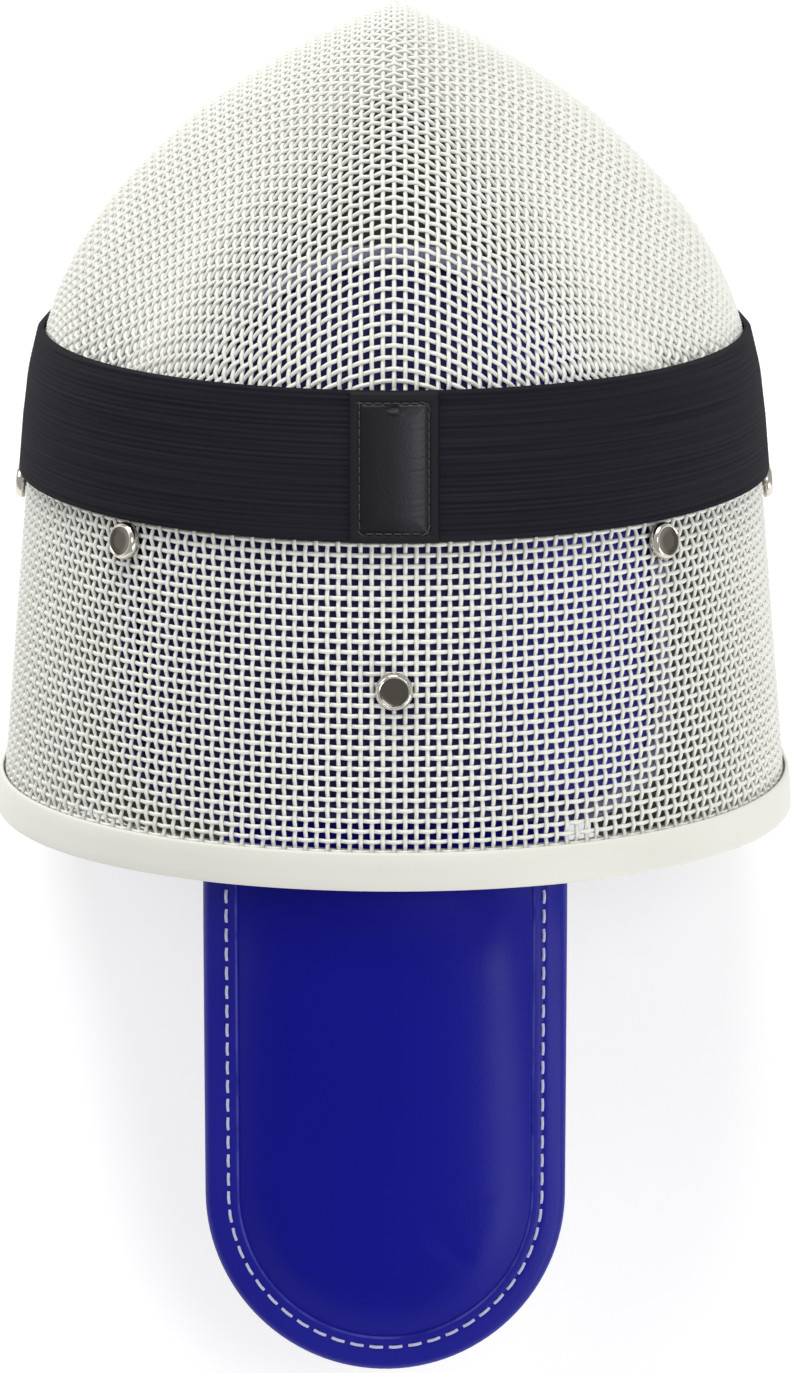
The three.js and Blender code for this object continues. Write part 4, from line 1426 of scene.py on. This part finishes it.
def wrapped_up(obj):
    """The side lining's upper edge drawn up to the crown pad, further at its rear corners."""
    spot = hood_place(vertex_array(obj))
    x, y, z = spot[:, 0], spot[:, 1], spot[:, 2] + CROWN_RISE
    radius = np.hypot(x, z)
    angle = np.arctan2(np.abs(x), z)
    upper = smooth(z, 2.0, 45.0) * smooth(-y, -25.0, 0.0)
    corner = smooth(-y, 82.0, 98.0) * np.where(x < 0, 1.0, RIGHT_SHARE)
    tuck = upper * (LINING_TUCK + (CORNER_TUCK - LINING_TUCK) * corner)
    radius = radius - LINING_DRAWN_IN * upper
    side = np.sign(x)
    x = side * radius * np.sin(angle - tuck)
    z = radius * np.cos(angle - tuck) - CROWN_RISE
    return moved_to(obj, placed(np.stack([x, y, z], 1)))


def remeshed(obj, voxel, rounds):
    change = obj.modifiers.new("form", "REMESH")
    change.mode = "VOXEL"
    change.voxel_size = voxel
    change.use_smooth_shade = True
    relax = obj.modifiers.new("relax", "SMOOTH")
    relax.factor = 0.5
    relax.iterations = rounds
    return evaluated(obj)


def subdivided(obj):
    change = obj.modifiers.new("fine", "SUBSURF")
    change.levels = 1
    change.render_levels = 1
    return evaluated(obj)


PADDING_VOXEL = 0.0038
PADDING_INSET = 0.0012
PADDING_PRESSURE = 4.0
BLOWN_OUT = 0.0012
CROWN_EDGE_REACH = 0.0040
SIDES_EDGE_REACH = 0.0022
TAPE_VOXEL = 0.0011


def padding(name, node, slot, material, reach, shape=None):
    obj = copy_of(node, name, FINISH[material])
    remeshed(obj, PADDING_VOXEL, 4)
    drawn_in(obj, PADDING_INSET, reach)
    if shape:
        shape(obj)
    blown(obj, PADDING_PRESSURE, BLOWN_OUT)
    subdivided(obj)
    obj.data.polygons.foreach_set("use_smooth", [True] * len(obj.data.polygons))
    settle(obj, slot, node, fill=0.6)


padding("padded_crown", "crown_pad", "pad_blue", "blue_lining", CROWN_EDGE_REACH)
padding("padded_sides", "side_lining", "lining_dark", "dark_lining", SIDES_EDGE_REACH, wrapped_up)

binding = copy_of("pad_binding", "crown_tape", FINISH["pale_tape"])
remeshed(binding, TAPE_VOXEL, 6)
settle(binding, "binding_pale", "pad_binding")


# Floor, light and camera
def pale_floor(place):
    cloud = noise(place, 3.0)
    return {
        "Base Color": mixed(cloud, (0.80, 0.80, 0.80), (0.83, 0.83, 0.83)),
        "Roughness": 0.9,
        "Specular IOR Level": 0.1,
        "Emission Color": (1.0, 1.0, 1.0),
        "Emission Strength": 0.38,
    }


FLOOR_HALF = 20.0
SKY_STRENGTH = 0.46
LIT_SPOT = Vector((0, 0, 0.12))
SOFTBOXES = {
    "key_softbox": ((-0.2, 1.5, 1.6), 1.2, 25),
    "left_softbox": ((-1.4, 0.7, 1.3), 1.0, 8),
    "right_softbox": ((1.5, -1.5, 0.8), 1.0, 17),
    "top_softbox": ((0.42, -0.35, 1.75), 0.5, 5),
}


def studio():
    corners = [(x * FLOOR_HALF, y * FLOOR_HALF, 0) for x, y in ((-1, -1), (1, -1), (1, 1), (-1, 1))]
    floor = new_object("floor", corners, [(0, 1, 2, 3)], finish_of("pale_floor", pale_floor), False)
    bpy.context.scene.view_settings.view_transform = "Standard"
    world = bpy.data.worlds.new("studio")
    bpy.context.scene.world = world
    world.use_nodes = True
    sky = world.node_tree.nodes["Background"]
    sky.inputs["Color"].default_value = (1.0, 1.0, 1.0, 1)
    sky.inputs["Strength"].default_value = SKY_STRENGTH
    for name, (spot, size, power) in SOFTBOXES.items():
        light = bpy.data.lights.new(name, "AREA")
        light.shape = "SQUARE"
        light.size = size
        light.energy = power
        lamp = added(name, light)
        lamp.location = spot
        lamp.rotation_euler = (LIT_SPOT - Vector(spot)).to_track_quat("-Z", "Y").to_euler()


CAMERA_HEIGHT = 1300.0
CAMERA_BACK = -74.8
CAMERA_RIGHT = 0.6
LENS = 135.1


def photo_camera():
    camera = bpy.data.cameras.new("photo_camera")
    camera.lens = LENS
    camera.sensor_width = 36.0
    camera.clip_start = 0.05
    camera.clip_end = 50.0
    rig = added("photo_camera", camera)
    rig.location = Vector(placed(np.array([CAMERA_RIGHT, CAMERA_BACK, CAMERA_HEIGHT])))
    rig.rotation_euler = (-floor_angle, 0, 0)
    bpy.context.scene.camera = rig


studio()
photo_camera()
